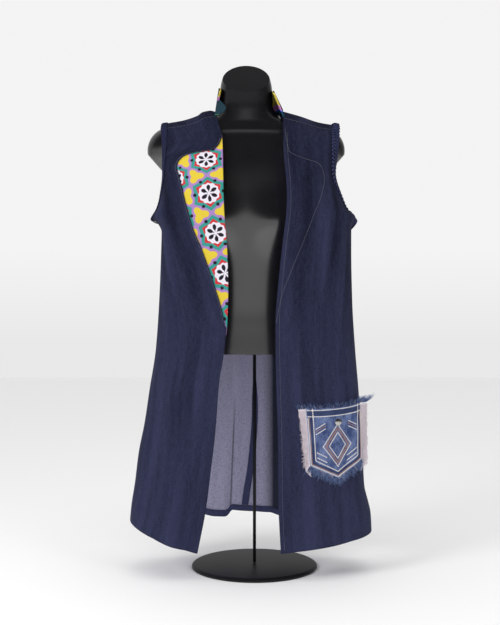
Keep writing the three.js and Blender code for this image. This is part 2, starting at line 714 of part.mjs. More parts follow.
function ringSolid(rings) {
  const points = rings.flat();
  const count = rings[0].length;
  const triangles = [];
  for (let r = 0; r < rings.length - 1; r += 1) {
    for (let i = 0; i < count; i += 1) {
      const n = (i + 1) % count;
      const a = r * count;
      triangles.push([a + i, a + n, a + count + n], [a + i, a + count + n, a + count + i]);
    }
  }
  for (const r of [0, rings.length - 1]) {
    const middle = new THREE.Vector3();
    rings[r].forEach((point) => middle.add(point));
    points.push(middle.multiplyScalar(1 / count));
    const hub = points.length - 1;
    for (let i = 0; i < count; i += 1) {
      const n = (i + 1) % count;
      if (r === 0) triangles.push([hub, r * count + n, r * count + i]);
      else triangles.push([hub, r * count + i, r * count + n]);
    }
  }
  return geometryOf(points, triangles);
}

function slab(size, position, tilt) {
  const box = new THREE.BoxGeometry(size, size, size);
  box.translate(0, 0, size / 2);
  box.rotateX(tilt.x);
  box.rotateY(tilt.y);
  box.translate(position.x, position.y, position.z);
  return toManifold(box);
}

function shoulderEnd(sign) {
  const ball = new THREE.SphereGeometry(1, 18, 12);
  ball.scale(50, 39, 50);
  ball.translate(sign * 157, 0, 872);
  const cut = slab(200, { x: sign * 190, y: 0, z: 846 }, { x: 0, y: sign * 2.3 });
  return toManifold(ball).subtract(cut);
}

function formTorso() {
  const form = curves(formRows, 'z', ['half', 'front', 'back']);
  const zs = [
    448, 485, 520, 555, 590, 625, 660, 690, 715, 740, 762, 785, 808, 830, 850, 870, 886, 900, 909,
    918, 926, 934, 943, 952, 966, 991, 1005, 1018, 1030, 1040, 1046, 1049.5,
  ];
  let solid = toManifold(ringSolid(zs.map((z) => formRing(form, z))));
  solid = solid.add(shoulderEnd(1)).add(shoulderEnd(-1));
  solid = solid.subtract(slab(300, { x: 0, y: dome.capY, z: dome.capZ }, { x: dome.capTilt, y: 0 }));
  const geometry = fromManifold(solid);
  geometry.translate(formShift, 0, 0);
  return geometry;
}

function latheZ(profile, segments) {
  const geometry = new THREE.LatheGeometry(profile.map(([r, z]) => new THREE.Vector2(r, z)), segments);
  geometry.rotateX(Math.PI / 2);
  return geometry;
}

const denimLook = () => material(0x2c3054, 0.85);
const insideLook = () => material(0x2a2d50, 0.88);
const printLook = () => material(0xe2c23c, 0.8);
const formLook = () => material(0x141318, 0.25);

addPart('front_right', frontPanel('right', lapelHeights, lapelPlace), denimLook());
addPart('front_left', frontPanel('left', heights, () => 0), denimLook());
addPart('back_right', backPanel('right'), denimLook());
addPart('back_left', backPanel('left'), denimLook());
addPart('lapel_print', lapelPrint(), printLook());
addPart('collar_denim', collarLayer({ inner: -0.6, outer: 0.6 }, 0), denimLook());
addPart('collar_print', collarLayer({ inner: -2.2, outer: -1 }, 0.002), printLook());
addPart('collar_corner', collarCorner(), material(0x15505a, 0.8));
addPart('armhole_band_right', armholeBand('right'), insideLook());
addPart('armhole_band_left', armholeBand('left'), insideLook());
addPart('back_hem_band', backHemBand(), insideLook());
addPart('centre_back_seam', centreBackSeam(), insideLook());
addPart('pocket_patch', pocketPatch(), material(0x5a7cab, 0.85));
addPart('pocket_strip_front', pocketStrip(-1, seamGap), material(0xc8bcc4, 0.95));
addPart('pocket_strip_side', pocketStrip(1, 2), material(0xc8bcc4, 0.95));
addPart('pocket_fringe_top', topFringe(), material(0x4f6c98, 0.95));
addPart('pocket_fringe_bottom', bottomFringe(), material(0x4f6c98, 0.95));
addPart('pocket_stud', pocketStud(), material(0xb9bcc2, 0.3, 1));
addPart('form_torso', formTorso(), formLook());

group.children.forEach((mesh) => mesh.geometry.translate(garmentShift, 0, 0));

const rodFoot = baseThickness + layerGap;
const rodHead = formBottom - layerGap;
const rodProfile = [[0, rodFoot], [rodRadius, rodFoot], [rodRadius, rodHead], [0, rodHead]];
const baseProfile = [
  [0, 0], [baseRadius, 0], [baseRadius + 1, 1], [baseRadius + 1, 4.5], [baseRadius - 1, 6.6],
  [baseRadius - 6, baseThickness], [0, baseThickness],
];
addPart('form_rod', latheZ(rodProfile, 24), formLook());
addPart('form_base', latheZ(baseProfile, 48), formLook());

export default group;
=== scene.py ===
# Looks of the long denim vest on its black torso form: fine cloth, stitches, print, fringe, lights, camera.
import bpy
import bmesh
import math
import numpy as np
from mathutils import Matrix, Vector


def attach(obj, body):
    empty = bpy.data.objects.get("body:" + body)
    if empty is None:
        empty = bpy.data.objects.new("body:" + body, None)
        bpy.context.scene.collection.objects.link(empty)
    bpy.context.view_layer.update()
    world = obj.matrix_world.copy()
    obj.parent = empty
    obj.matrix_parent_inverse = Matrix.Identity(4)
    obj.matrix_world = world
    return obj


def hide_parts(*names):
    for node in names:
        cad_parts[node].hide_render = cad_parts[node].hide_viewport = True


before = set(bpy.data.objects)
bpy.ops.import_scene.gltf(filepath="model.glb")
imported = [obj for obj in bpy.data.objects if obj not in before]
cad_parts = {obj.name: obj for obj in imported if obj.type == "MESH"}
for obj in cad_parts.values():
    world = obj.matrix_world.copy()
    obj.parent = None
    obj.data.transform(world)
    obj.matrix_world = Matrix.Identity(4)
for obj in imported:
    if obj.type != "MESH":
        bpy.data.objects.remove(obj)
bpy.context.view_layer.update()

# Sizes in millimetres, as in the part
MM = 0.001
CLOTH = 1.4
TRIM = 1.2
LAYER = 0.9
HEM = 56
SEAM = 938
TIP = 729
NECK_BACK = 942
BACK_SEAM = 994
FORM_SHIFT = -6
GARMENT_SHIFT = -11.5
ON_TOP = CLOTH / 2 + LAYER
INSIDE = -CLOTH / 2 - LAYER - TRIM / 2
THREAD_LIFT = CLOTH / 2 + 0.15
# How square the vest's sections are, how far up the hem's curve reaches, and each section's gap at a seam
SQUARENESS = 3.0
HEM_FADE = 150
SEAM_PLACE = 0.0015
TOP_GAP = 0.2


def curve(pairs):
    """Smooth curve through (x, y) pairs that never overshoots them."""
    xs = np.array([p[0] for p in pairs], float)
    ys = np.array([p[1] for p in pairs], float)
    rise = np.diff(ys) / np.diff(xs)
    slope = np.zeros_like(ys)
    slope[0], slope[-1] = rise[0], rise[-1]
    same = rise[:-1] * rise[1:] > 0
    total = np.where(same, rise[:-1] + rise[1:], 1)
    slope[1:-1] = np.where(same, 2 * rise[:-1] * rise[1:] / total, 0)

    def at(x):
        x = np.asarray(x, float)
        i = np.clip(np.searchsorted(xs, x) - 1, 0, len(xs) - 2)
        step = xs[i + 1] - xs[i]
        t = np.clip((x - xs[i]) / step, 0, 1)
        near = (1 + 2 * t) * (1 - t) ** 2 * ys[i] + t * (1 - t) ** 2 * step * slope[i]
        far = t * t * (3 - 2 * t) * ys[i + 1] + t * t * (t - 1) * step * slope[i + 1]
        beyond = slope[0] * np.minimum(x - xs[0], 0) + slope[-1] * np.maximum(x - xs[-1], 0)
        return near + far + beyond

    return at


def table(rows, names):
    """Named curves from rows whose first number is the key."""
    return {name: curve([(row[0], row[k + 1]) for row in rows]) for k, name in enumerate(names)}


def mix(a, b, t):
    return a + (b - a) * t


def ease(t):
    """Soft step from 0 to 1."""
    s = np.clip(t, 0, 1)
    return s * s * (3 - 2 * s)


def unit(vectors):
    return vectors / np.maximum(np.linalg.norm(vectors, axis=-1, keepdims=True), 1e-9)


def run_of(points):
    """Distance along a path at each of its points."""
    return np.concatenate([[0], np.cumsum(np.linalg.norm(np.diff(points, axis=0), axis=-1))])


# Height, distance from the vest's centre
RIGHT_OPENING = [(56, 102), (133, 87), (207, 77), (298, 66.5), (398, 58.5), (449, 50), (513, 44), (577, 42),
                 (656, 44), (734, 50), (853, 53), (889, 55), (938, 67)]
LEFT_OPENING = [(56, 63), (151, 58.5), (298, 57), (360, 55), (449, 53), (511, 52.5), (577, 57), (656, 65),
                (762, 75.5), (874, 69.5), (938, 70)]
RIGHT_SIDE = [(56, 246), (122, 241), (173, 236.5), (240, 229), (307, 216), (374, 206), (458, 193), (559, 186),
              (660, 182), (700, 181), (716, 188), (729, 200), (748, 191), (772, 183), (821, 176), (866, 176),
              (938, 181)]
LEFT_SIDE = [(56, 254), (97, 252), (122, 248), (173, 239), (230, 236), (374, 227), (458, 220), (559, 214),
             (660, 212), (703, 212), (716, 216), (729, 221), (748, 204), (772, 192), (821, 176), (866, 181),
             (938, 186)]
# Height, depth at the opening, depth at the side, height at the opening, height at the side, turn
FRONT = table([
    (56, -122, 0, 56, 56, 1), (449, -116, 0, 449, 449, 1), (700, -114, 0, 700, 700, 1),
    (729, -114, 0, 729, 729, 0.96), (748, -114, -24, 748, 744, 0.85), (772, -113, -39, 772, 768, 0.75),
    (821, -107, -50, 821, 819, 0.62), (856, -90, -50, 856, 853, 0.55), (889, -70, -45, 889, 881, 0.5),
    (915, -50, -37, 915, 900, 0.45), (938, -30, -27, 938, 915, 0.4), (966, 2, 0, 954, 928, 0.4),
], ["inY", "outY", "inZ", "outZ", "turn"])
# Height, depth at the centre, depth at the side, height at the side, turn
BACK = table([
    (56, 104, 0, 56, 1), (449, 101, 0, 449, 1), (700, 100, 0, 700, 1), (729, 99, 0, 729, 0.96),
    (748, 98.5, 24, 744, 0.85), (780, 98, 40, 776, 0.75), (830, 94, 47, 826, 0.65), (880, 86, 45, 868, 0.55),
    (915, 78, 36, 899, 0.45), (942, 70, 22, 917, 0.4), (966, 2, 0, 928, 0.4), (994, -30, -27, 915, 0.4),
    (1017, -50, -37, 900, 0.4),
], ["inY", "outY", "outZ", "turn"])
NECK = table([(942, 0, 70, 942), (949, 34, 61, 945), (957, 62, 33, 951), (966, 72, 2, 954),
              (994, 67, -30, 938), (1017, 60, -50, 915)], ["x", "y", "z"])
SEAM_DRIFT = curve([(96, -7), (323, 13), (700, 2), (942, 0)])
# Place across the shoulder, how far its line stands above or hangs below the straight one
SHOULDER = {"right": curve([(0, 0), (0.1, 4.5), (0.22, 5), (0.34, -0.5), (0.6, -3), (0.85, -1.5), (1, 0)]),
            "left": curve([(0, 0), (0.3, -2), (0.65, -6), (0.85, -5), (1, 0)])}
SIDES = {
    "right": {"sign": -1, "in": curve(RIGHT_OPENING), "out": curve(RIGHT_SIDE), "rise": 51},
    "left": {"sign": 1, "in": curve(LEFT_OPENING), "out": curve(LEFT_SIDE), "rise": 28},
}
BACK_RISE = 40
# How far the back's hem hangs lower beside its pleat and towards the left front: drop, start and width
HEM_SAG = {"right": (15, 35, 18), "left": (6, 44, 24)}
SAG_END = 150
SAG_FADE = 80
SAG_HEIGHT = 70
# Length over which a fold dies out at each end
FOLD_FADE = 70
# Side, top height and distance, low height and distance, width, depth (ridges are negative)
FRONT_FOLDS = [
    ("right", 850, 148, 540, 146, 13, 6), ("right", 690, 110, 440, 110, 16, 5),
    ("right", 470, 172, 120, 212, 17, 8), ("right", 430, 146, 60, 158, 20, -7),
    ("right", 400, 106, 60, 124, 15, 6), ("left", 690, 150, 380, 165, 22, 4),
    ("left", 330, 190, 60, 205, 22, 5),
]
BACK_FOLDS = [("right", 520, 24, 60, 40, 13, -7), ("right", 640, 120, 90, 150, 24, 9),
              ("left", 640, 110, 90, 140, 24, 9)]
# Small creases that only the cloth's surface shows
FRONT_CREASES = [
    ("right", 700, 168, 560, 172, 8, 1.6), ("right", 600, 128, 470, 132, 9, -1.5),
    ("right", 330, 84, 90, 96, 9, -2.5), ("right", 330, 70, 110, 84, 6, 1.6),
    ("right", 130, 186, 60, 190, 5, 2.2), ("left", 860, 120, 640, 150, 14, 1.6),
    ("left", 600, 95, 420, 100, 16, -1.4), ("left", 260, 90, 70, 96, 14, 1.6),
    ("right", 640, 98, 520, 100, 7, 1.4), ("left", 700, 178, 520, 188, 10, 1.6),
]
BACK_CREASES = [
    ("right", 860, 90, 700, 110, 14, 2.4), ("left", 850, 84, 690, 104, 14, 2.4),
    ("left", 420, 30, 80, 36, 12, 2.6), ("right", 420, 70, 80, 84, 10, 2.6),
    ("right", 700, 150, 420, 166, 12, 2.6), ("left", 720, 150, 400, 170, 11, 2.8),
    ("left", 560, 60, 260, 70, 12, -2.2), ("right", 600, 46, 300, 60, 9, 2),
    ("left", 300, 180, 70, 196, 13, 3), ("right", 280, 176, 80, 190, 12, 3),
]


def fold(folds, side, x, h):
    """Depth of one side's folds at distance x and height h."""
    total = np.zeros_like(x)
    for name, top_h, top_x, low_h, low_x, width, depth in folds:
        if name != side:
            continue
        line = mix(low_x, top_x, (h - low_h) / (top_h - low_h))
        across = np.exp(-(((x - line) / width) ** 2))
        total += depth * across * ease((top_h - h) / FOLD_FADE) * ease((h - low_h + FOLD_FADE) / FOLD_FADE)
    return total


def ripple(x, z, seed):
    """Slight unevenness of hanging cloth."""
    wave = np.sin(x / 23 + 1.7 * np.sin(z / 61 + seed)) * np.sin(z / 47 + 2.1 * np.sin(x / 53 + seed * 2))
    fine = np.sin(x / 9 + z / 31 + seed) * np.sin(z / 17 - x / 21)
    return 0.55 * wave + 0.16 * fine


def dents(folds, creases, side, q, x, h, seed):
    """Folds, small creases and unevenness together; the unevenness dies out at a panel's edges."""
    calm = np.sin(np.clip(q, 0, 1) * math.pi) ** 0.5
    return fold(folds, side, x, h) + fold(creases, side, x, h) + calm * ripple(x, h, seed)


def turn_at(angle):
    """Point on a quarter of a squared-off circle, as the way across and the way back."""
    s, c = np.sin(angle), np.cos(angle)
    reach = np.maximum(np.abs(s) ** SQUARENESS + np.abs(c) ** SQUARENESS, 1e-9) ** (-1 / SQUARENESS)
    return reach * s, 1 - reach * c


def quarter_turn(q, turn):
    """Shares of a section's width and depth at place q, for a section that turns by a part of a quarter."""
    full = turn * math.pi / 2
    sx, sy = turn_at(q * full)
    ex, ey = turn_at(full)
    return sx / ex, sy / ey


def place_of(part, turn):
    """Place on a section where a given share of its width is reached."""
    full = turn * math.pi / 2
    g = np.clip(part * turn_at(full)[0], 1e-4, 0.9999)
    return np.arctan2(1, (g ** -SQUARENESS - 1) ** (1 / SQUARENESS)) / full


def front_point(side, q, h):
    """Point on a front: place q runs from the opening to the side seam, h is the height at the opening."""
    s = SIDES[side]
    q, h = np.broadcast_arrays(np.asarray(q, float), np.asarray(h, float))
    across, back = quarter_turn(q, FRONT["turn"](h))
    x = mix(s["in"](h), s["out"](h), across)
    y = mix(FRONT["inY"](h), FRONT["outY"](h), back)
    dent = dents(FRONT_FOLDS, FRONT_CREASES, side, q, x, h, s["sign"])
    hem = s["rise"] * np.maximum(across, 0) ** 1.3 * ease((HEM + HEM_FADE - h) / HEM_FADE)
    z = mix(FRONT["inZ"](h), FRONT["outZ"](h), across) + hem
    z = z + SHOULDER[side](across) * ease((h - 895) / 43)
    return np.stack([s["sign"] * x, y + dent * (1 - back), z], -1)


def front_place(side, x, h):
    s = SIDES[side]
    return place_of((x - s["in"](h)) / (s["out"](h) - s["in"](h)), FRONT["turn"](h))


def back_point(side, q, h):
    """Point on a back: place q runs from the centre seam or the neck's edge to the side."""
    s = SIDES[side]
    q, h = np.broadcast_arrays(np.asarray(q, float), np.asarray(h, float))
    on_neck = h > NECK_BACK
    in_x = np.where(on_neck, NECK["x"](h), s["sign"] * SEAM_DRIFT(h))
    in_y = np.where(on_neck, NECK["y"](h), BACK["inY"](h))
    in_z = np.where(on_neck, NECK["z"](h), h)
    across, front = quarter_turn(q, BACK["turn"](h))
    x = mix(in_x, s["out"](np.minimum(h, SEAM)), across)
    y = mix(in_y, BACK["outY"](h), front)
    dent = dents(BACK_FOLDS, BACK_CREASES, side, q, x, h, 3 * s["sign"])
    fade = ease((HEM + HEM_FADE - h) / HEM_FADE)
    z = mix(in_z, BACK["outZ"](h), across) + mix(BACK_RISE, s["rise"], across) * fade
    drop, start, width = HEM_SAG[side]
    sag = drop * ease((x - start) / width) * ease((SAG_END - x) / SAG_FADE)
    z = z - sag * ease((HEM + SAG_HEIGHT - h) / SAG_HEIGHT)
    z = z + SHOULDER[side](across) * ease((h - 915) / 45)
    return np.stack([s["sign"] * x, y - dent * (1 - front), z], -1)


def front_surface(side):
    return lambda q, h: front_point(side, q, h)


def back_surface(side):
    return lambda q, h: back_point(side, q, h)


def normals_of(surface, u, v):
    """Outward unit normals of a surface, away from the vest's axis."""
    step_u, step_v, upward = 0.002, 0.05, 20
    along = surface(u + step_u, v) - surface(u - step_u, v)
    up = surface(u, v + step_v) - surface(u, v - step_v)
    n = unit(np.cross(along, up))
    away = surface(u, v)
    away[..., 2] = upward
    facing = (n * away).sum(-1).reshape(-1)
    return n if facing[facing.size // 2] >= 0 else -n


def new_object(name, mesh, slot, *replaced):
    obj = bpy.data.objects.new(name, mesh)
    bpy.context.scene.collection.objects.link(obj)
    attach(obj, "root")
    if replaced:
        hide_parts(*replaced)
    return obj


def grid_mesh(name, columns, rows):
    """A grid made by the operator, with each corner's column and row number."""
    bm = bmesh.new()
    bmesh.ops.create_grid(bm, x_segments=columns, y_segments=rows, size=0.5)
    mesh = bpy.data.meshes.new(name)
    bm.to_mesh(mesh)
    bm.free()
    flat = np.empty(len(mesh.vertices) * 3)
    mesh.vertices.foreach_get("co", flat)
    co = flat.reshape(-1, 3)
    return mesh, np.clip(co[:, 0] + 0.5, 0, 1), np.clip(co[:, 1] + 0.5, 0, 1)


def smooth(mesh):
    for polygon in mesh.polygons:
        polygon.use_smooth = True


def set_points(mesh, points):
    mesh.vertices.foreach_set("co", np.ascontiguousarray(points, dtype=np.float64).reshape(-1))
    mesh.update()


def set_uv(mesh, u, v, name="UVMap"):
    layer = mesh.uv_layers.new(name=name)
    corner = np.empty(len(mesh.loops), dtype=np.int32)
    mesh.loops.foreach_get("vertex_index", corner)
    layer.data.foreach_set("uv", np.stack([u[corner], v[corner]], -1).reshape(-1).astype(np.float32))


def arc_lengths(points, columns, rows, u, v):
    """Distances along each row and column of a grid, in metres, for use as flat cloth coordinates."""
    i = np.rint(u * columns).astype(int)
    j = np.rint(v * rows).astype(int)
    grid = np.zeros((rows + 1, columns + 1, 3))
    grid[j, i] = points
    across = np.zeros((rows + 1, columns + 1))
    across[:, 1:] = np.cumsum(np.linalg.norm(np.diff(grid, axis=1), axis=-1), axis=1)
    up = np.zeros((rows + 1, columns + 1))
    up[1:] = np.cumsum(np.linalg.norm(np.diff(grid, axis=0), axis=-1), axis=0)
    return across[j, i], up[j, i]


def finish_wall(obj, thick, materials):
    """Gives a sheet its thickness, with the inner side's own material."""
    for item in materials:
        obj.data.materials.append(item)
    wall = obj.modifiers.new("Wall", "SOLIDIFY")
    wall.thickness = thick * MM
    wall.offset = 0
    wall.material_offset = len(materials) - 1
    smooth(obj.data)


def cloth_sheet(name, surface, columns, rows, lift, thick, materials, slot, replaced, v_of, uv_of=None):
    """A sheet on a surface of the vest: u in 0..1 runs across, v_of gives the height for 0..1.

    The lift sets it off the surface, and uv_of changes its flat coordinates."""
    mesh, u, t = grid_mesh(name, columns, rows)
    v = v_of(t)
    n = normals_of(surface, u, v)
    points = surface(u, v) + n * lift
    points[:, 0] += GARMENT_SHIFT
    set_points(mesh, points * MM)
    across, up = arc_lengths(points * MM, columns, rows, u, t)
    if uv_of:
        across, up = uv_of(across, v)
    set_uv(mesh, across, up)
    face = mesh.polygons[len(mesh.polygons) // 2]
    centre = np.array(face.center)
    middle = np.array([GARMENT_SHIFT * MM, 0, centre[2] - 0.02])
    if np.dot(np.array(face.normal), centre - middle) < 0:
        mesh.flip_normals()
    obj = new_object(name, mesh, slot, *replaced)
    finish_wall(obj, thick, materials)
    return obj


class Value:
    """A number in a node tree, so that patterns read as plain formulas."""

    def __init__(self, tree, socket):
        self.tree = tree
        self.socket = socket

    def math(self, operation, *others):
        node = self.tree.nodes.new("ShaderNodeMath")
        node.operation = operation
        for socket, item in zip(node.inputs, (self,) + others):
            if isinstance(item, Value):
                self.tree.links.new(item.socket, socket)
            else:
                socket.default_value = item
        return Value(self.tree, node.outputs[0])

    def __add__(self, other):
        return self.math("ADD", other)

    def __sub__(self, other):
        return self.math("SUBTRACT", other)

    def __mul__(self, other):
        return self.math("MULTIPLY", other)

    def __truediv__(self, other):
        return self.math("DIVIDE", other)

    def size(self):
        return self.math("ABSOLUTE")

    def __lt__(self, other):
        return self.math("LESS_THAN", other)

    def __gt__(self, other):
        return self.math("GREATER_THAN", other)

    def between(self, low, high):
        return self.math("MAXIMUM", low).math("MINIMUM", high)

    def wrap(self, period):
        """Runs from minus half a period to plus half, over and over."""
        half = period / 2
        return self.math("WRAP", half, -half)


class Paint:
    """A material and short ways to fill it."""

    def __init__(self, name):
        self.material = bpy.data.materials.new(name)
        self.material.use_nodes = True
        self.tree = self.material.node_tree
        self.shader = self.tree.nodes["Principled BSDF"]
        self.shader.inputs["Specular IOR Level"].default_value = 0.25

    def node(self, kind, **values):
        node = self.tree.nodes.new(kind)
        for key, value in values.items():
            setattr(node, key, value)
        return node

    def value(self, socket):
        return Value(self.tree, socket)

    def uv(self):
        return self.node("ShaderNodeUVMap", uv_map="UVMap").outputs[0]

    def place(self):
        return self.node("ShaderNodeTexCoord").outputs["Object"]

    def split(self, vector):
        node = self.node("ShaderNodeSeparateXYZ")
        self.tree.links.new(vector, node.inputs[0])
        return [self.value(node.outputs[k]) for k in range(3)]

    def scaled(self, vector, x, y, z=1.0, turn=0.0):
        node = self.node("ShaderNodeMapping")
        node.inputs["Scale"].default_value = (x, y, z)
        node.inputs["Rotation"].default_value = (0, 0, turn)
        self.tree.links.new(vector, node.inputs["Vector"])
        return node.outputs[0]

    def noise(self, vector, scale, detail=3.0, rough=0.55):
        node = self.node("ShaderNodeTexNoise")
        node.inputs["Scale"].default_value = scale
        node.inputs["Detail"].default_value = detail
        node.inputs["Roughness"].default_value = rough
        self.tree.links.new(vector, node.inputs["Vector"])
        return self.value(node.outputs["Fac"])

    def blend(self, factor, a, b):
        """Colour a where factor is 0, b where it is 1."""
        node = self.node("ShaderNodeMix", data_type="RGBA")
        self.tree.links.new(factor.socket, node.inputs[0])
        for socket, item in ((node.inputs[6], a), (node.inputs[7], b)):
            if isinstance(item, tuple):
                socket.default_value = item + (1.0,)
            else:
                self.tree.links.new(item, socket)
        return node.outputs[2]

    def colour(self, item):
        if isinstance(item, tuple):
            self.shader.inputs["Base Color"].default_value = item + (1.0,)
        else:
            self.tree.links.new(item, self.shader.inputs["Base Color"])

    def rough(self, amount):
        if isinstance(amount, Value):
            self.tree.links.new(amount.socket, self.shader.inputs["Roughness"])
        else:
            self.shader.inputs["Roughness"].default_value = amount

    def bump(self, height, distance, strength=1.0):
        node = self.node("ShaderNodeBump")
        node.inputs["Distance"].default_value = distance
        node.inputs["Strength"].default_value = strength
        self.tree.links.new(height.socket, node.inputs["Height"])
        self.tree.links.new(node.outputs[0], self.shader.inputs["Normal"])


def srgb(r, g, b):
    """Linear colour from 0..255 screen values."""
    def one(c):
        c = c / 255
        return c / 12.92 if c <= 0.04045 else ((c + 0.055) / 1.055) ** 2.4
    return (one(r), one(g), one(b))


# Pitch of the twill's diagonal ribs, its slope, and the pitch and slant of the painted shade along gathered
# ribs, in metres
TWILL_PITCH = 0.0016
TWILL_SLOPE = 1.35
GATHER_PITCH = 0.0082
GATHER_SLANT = 240
BUMP_DEPTH = 0.0005


def twill(paint):
    """Diagonal ribs of a twill weave on the cloth's own coordinates."""
    u, v, _ = paint.split(paint.uv())
    slope = u * TWILL_SLOPE + v
    return (slope * (2 * math.pi / TWILL_PITCH)).math("SINE") * 0.5 + 0.5


def denim_paint(name, dark, light, streak, streaks_and_fold_shade=0.3, fade=0.0, rib_shade=0.0, shade=None, speckle=1.0):
    """Twill in two tones, with thick and thin threads and long soft streaks.

    Streak sets its brightness, mottle the strength of its long streaks, which are partly the cloth's own
    streaky tone and partly painted fold shade, fade a change of brightness with height, which on the outside
    denim is painted shade, darker towards the top, gather the strength of painted shade along gathered ribs,
    speckle its grain, and shade where painted shade in a third, dark tone lies."""
    paint = Paint(name)
    rib = twill(paint)
    slub = paint.noise(paint.scaled(paint.uv(), 900, 60), 1.0, 4.0)
    cross = paint.noise(paint.scaled(paint.uv(), 120, 700), 1.0, 3.0)
    # Long soft upright streaks: partly the denim's own streaky tone, partly painted shade of upright folds
    cloud = paint.noise(paint.scaled(paint.uv(), 26, 2.4), 1.0, 3.0)
    grain = paint.noise(paint.uv(), 620.0, 2.0) * 0.6 + paint.noise(paint.uv(), 210.0, 2.0) * 0.4
    x, _, z = paint.split(paint.place())
    along, over, _ = paint.split(paint.uv())
    # Painted shade along the gathered ribs: dark waves at the ribs' pitch
    rib_shade_waves = along * (2 * math.pi / GATHER_PITCH) + over * GATHER_SLANT + cloud * 2
    threads = slub * 0.45 + cross * 0.25 + (grain - 0.5) * (0.35 * speckle) + 0.175
    tone = threads + rib * 0.22 + cloud * streaks_and_fold_shade
    middle = 0.5 + streaks_and_fold_shade * 0.5
    # Brightness changes with height; on the outside denim this is painted shade, darker towards the top
    level = (tone - middle) * 2.1 + streak + z * -fade
    level = (level + rib_shade_waves.math("SINE") * rib_shade).between(0.0, 1.0)
    colour = paint.blend(level, dark, light)
    # A third, dark tone of painted shade, where the shade mask gives it
    if shade:
        colour = paint.blend(shade(x, z), colour, SHADE_TONE)
    paint.colour(colour)
    paint.rough(grain * 0.15 + 0.78)
    paint.bump(rib * 0.5 + slub * 0.35 + grain * 0.4, BUMP_DEPTH, 0.6)
    paint.shader.inputs["Specular IOR Level"].default_value = 0.12
    return paint.material


# The line of painted shade along the pleat inside the right back: where it meets the floor's height, and its
# lean; then the dark tone of the painted shade inside the back
PLEAT_X = -0.0567
PLEAT_LEAN = 0.0413
SHADE_TONE = srgb(32, 40, 60)


def back_shade(x, z):
    """Painted shade inside the back: a dark line along the right back's pleat, and the left back's side,
    darker where it turns away from the light.
    """
    aside = (x - PLEAT_X - z * PLEAT_LEAN).size()
    below_pleat_top = (z * -12.0 + 4.3).between(0.0, 1.0)
    # Painted shade in the pleat's crease, dying out above the pleat's top
    pleat = (aside * -330.0 + 1.0).between(0.0, 1.0) * below_pleat_top * 0.75
    # Painted shade over the left back's inside, deepening towards its side
    turned = (x * 34.0 - 0.44).between(0.0, 1.0)
    return (pleat + turned * turned * 0.95).between(0.0, 1.0)


INSIDE_TONES = (srgb(104, 106, 142), srgb(226, 224, 250), 0.42)
# Outside denim: strong streaks that are partly painted fold shade, and painted shade darker towards the top
DENIM = denim_paint("denim_outside", srgb(11, 13, 28), srgb(55, 58, 87), 0.45, fade=0.45, streaks_and_fold_shade=0.75)
DENIM_IN = denim_paint("denim_inside", *INSIDE_TONES, fade=-0.6, speckle=3.0)
# Inside of the backs, with painted shade along the pleat and towards the left side
DENIM_BACK_IN_PAINTED_SHADE = denim_paint("denim_back_inside_painted_shade", *INSIDE_TONES, fade=-0.6, shade=back_shade, speckle=3.0)
DENIM_TRIM = denim_paint("denim_turned", srgb(18, 21, 40), srgb(52, 55, 86), 0.1)
# A lighter copy of the turned denim for the hem and seam strip inside the backs: painted light against the
# shade they lie in
DENIM_TURNED_IN_PAINTED_LIGHTER = denim_paint("denim_turned_inside_painted_lighter", srgb(40, 44, 76), srgb(92, 96, 136), 0.45)
# Left armhole band: dark stripes of painted shade along its gathered ribs
DENIM_RIBBED = denim_paint("denim_gathered_painted_rib_shade", srgb(10, 12, 25), srgb(58, 62, 96), 0.3, rib_shade=0.75)
RAW = denim_paint("denim_raw_edge", srgb(150, 140, 152), srgb(226, 216, 222), 0.5)


def pocket_paint():
    """Mid-blue washed twill: worn along the edge, dark between the border's rows of stitches."""
    paint = Paint("denim_washed")
    rib = twill(paint)
    slub = paint.noise(paint.scaled(paint.uv(), 700, 90), 1.0, 4.0)
    cloud = paint.noise(paint.scaled(paint.uv(), 40, 26), 1.0, 5.0, 0.65)
    grain = paint.noise(paint.uv(), 620.0, 2.0)
    u, v, _ = paint.split(paint.uv())
    worn = (cloud - 0.42) * 2.6 + (slub - 0.5) * 1.0 + (grain - 0.5) * 0.6 + rib * 0.15
    shade = paint.blend(worn.between(0.0, 1.0), srgb(52, 68, 112), srgb(134, 150, 192))
    side = u.size() * -1.0 + 0.062
    low = u.size() * -0.484 + 0.151 - v
    edge = side.math("MINIMUM", low) + (slub - 0.5) * 0.0012
    channel = (edge > 0.0062) * (edge < 0.0112)
    top = v + u * u * 0.91 - 0.0105
    hem = (top > 0.005) * (top < 0.0145)
    dark = channel.math("MAXIMUM", hem) * (grain * 0.5 + 0.6)
    shade = paint.blend(dark, shade, srgb(40, 50, 84))
    paint.colour(paint.blend((edge < 0.0016) * 0.6, shade, srgb(176, 184, 208)))
    paint.rough(0.85)
    paint.bump(rib * 0.5 + slub * 0.4 + grain * 0.4, BUMP_DEPTH, 0.7)
    return paint.material


WASHED = pocket_paint()


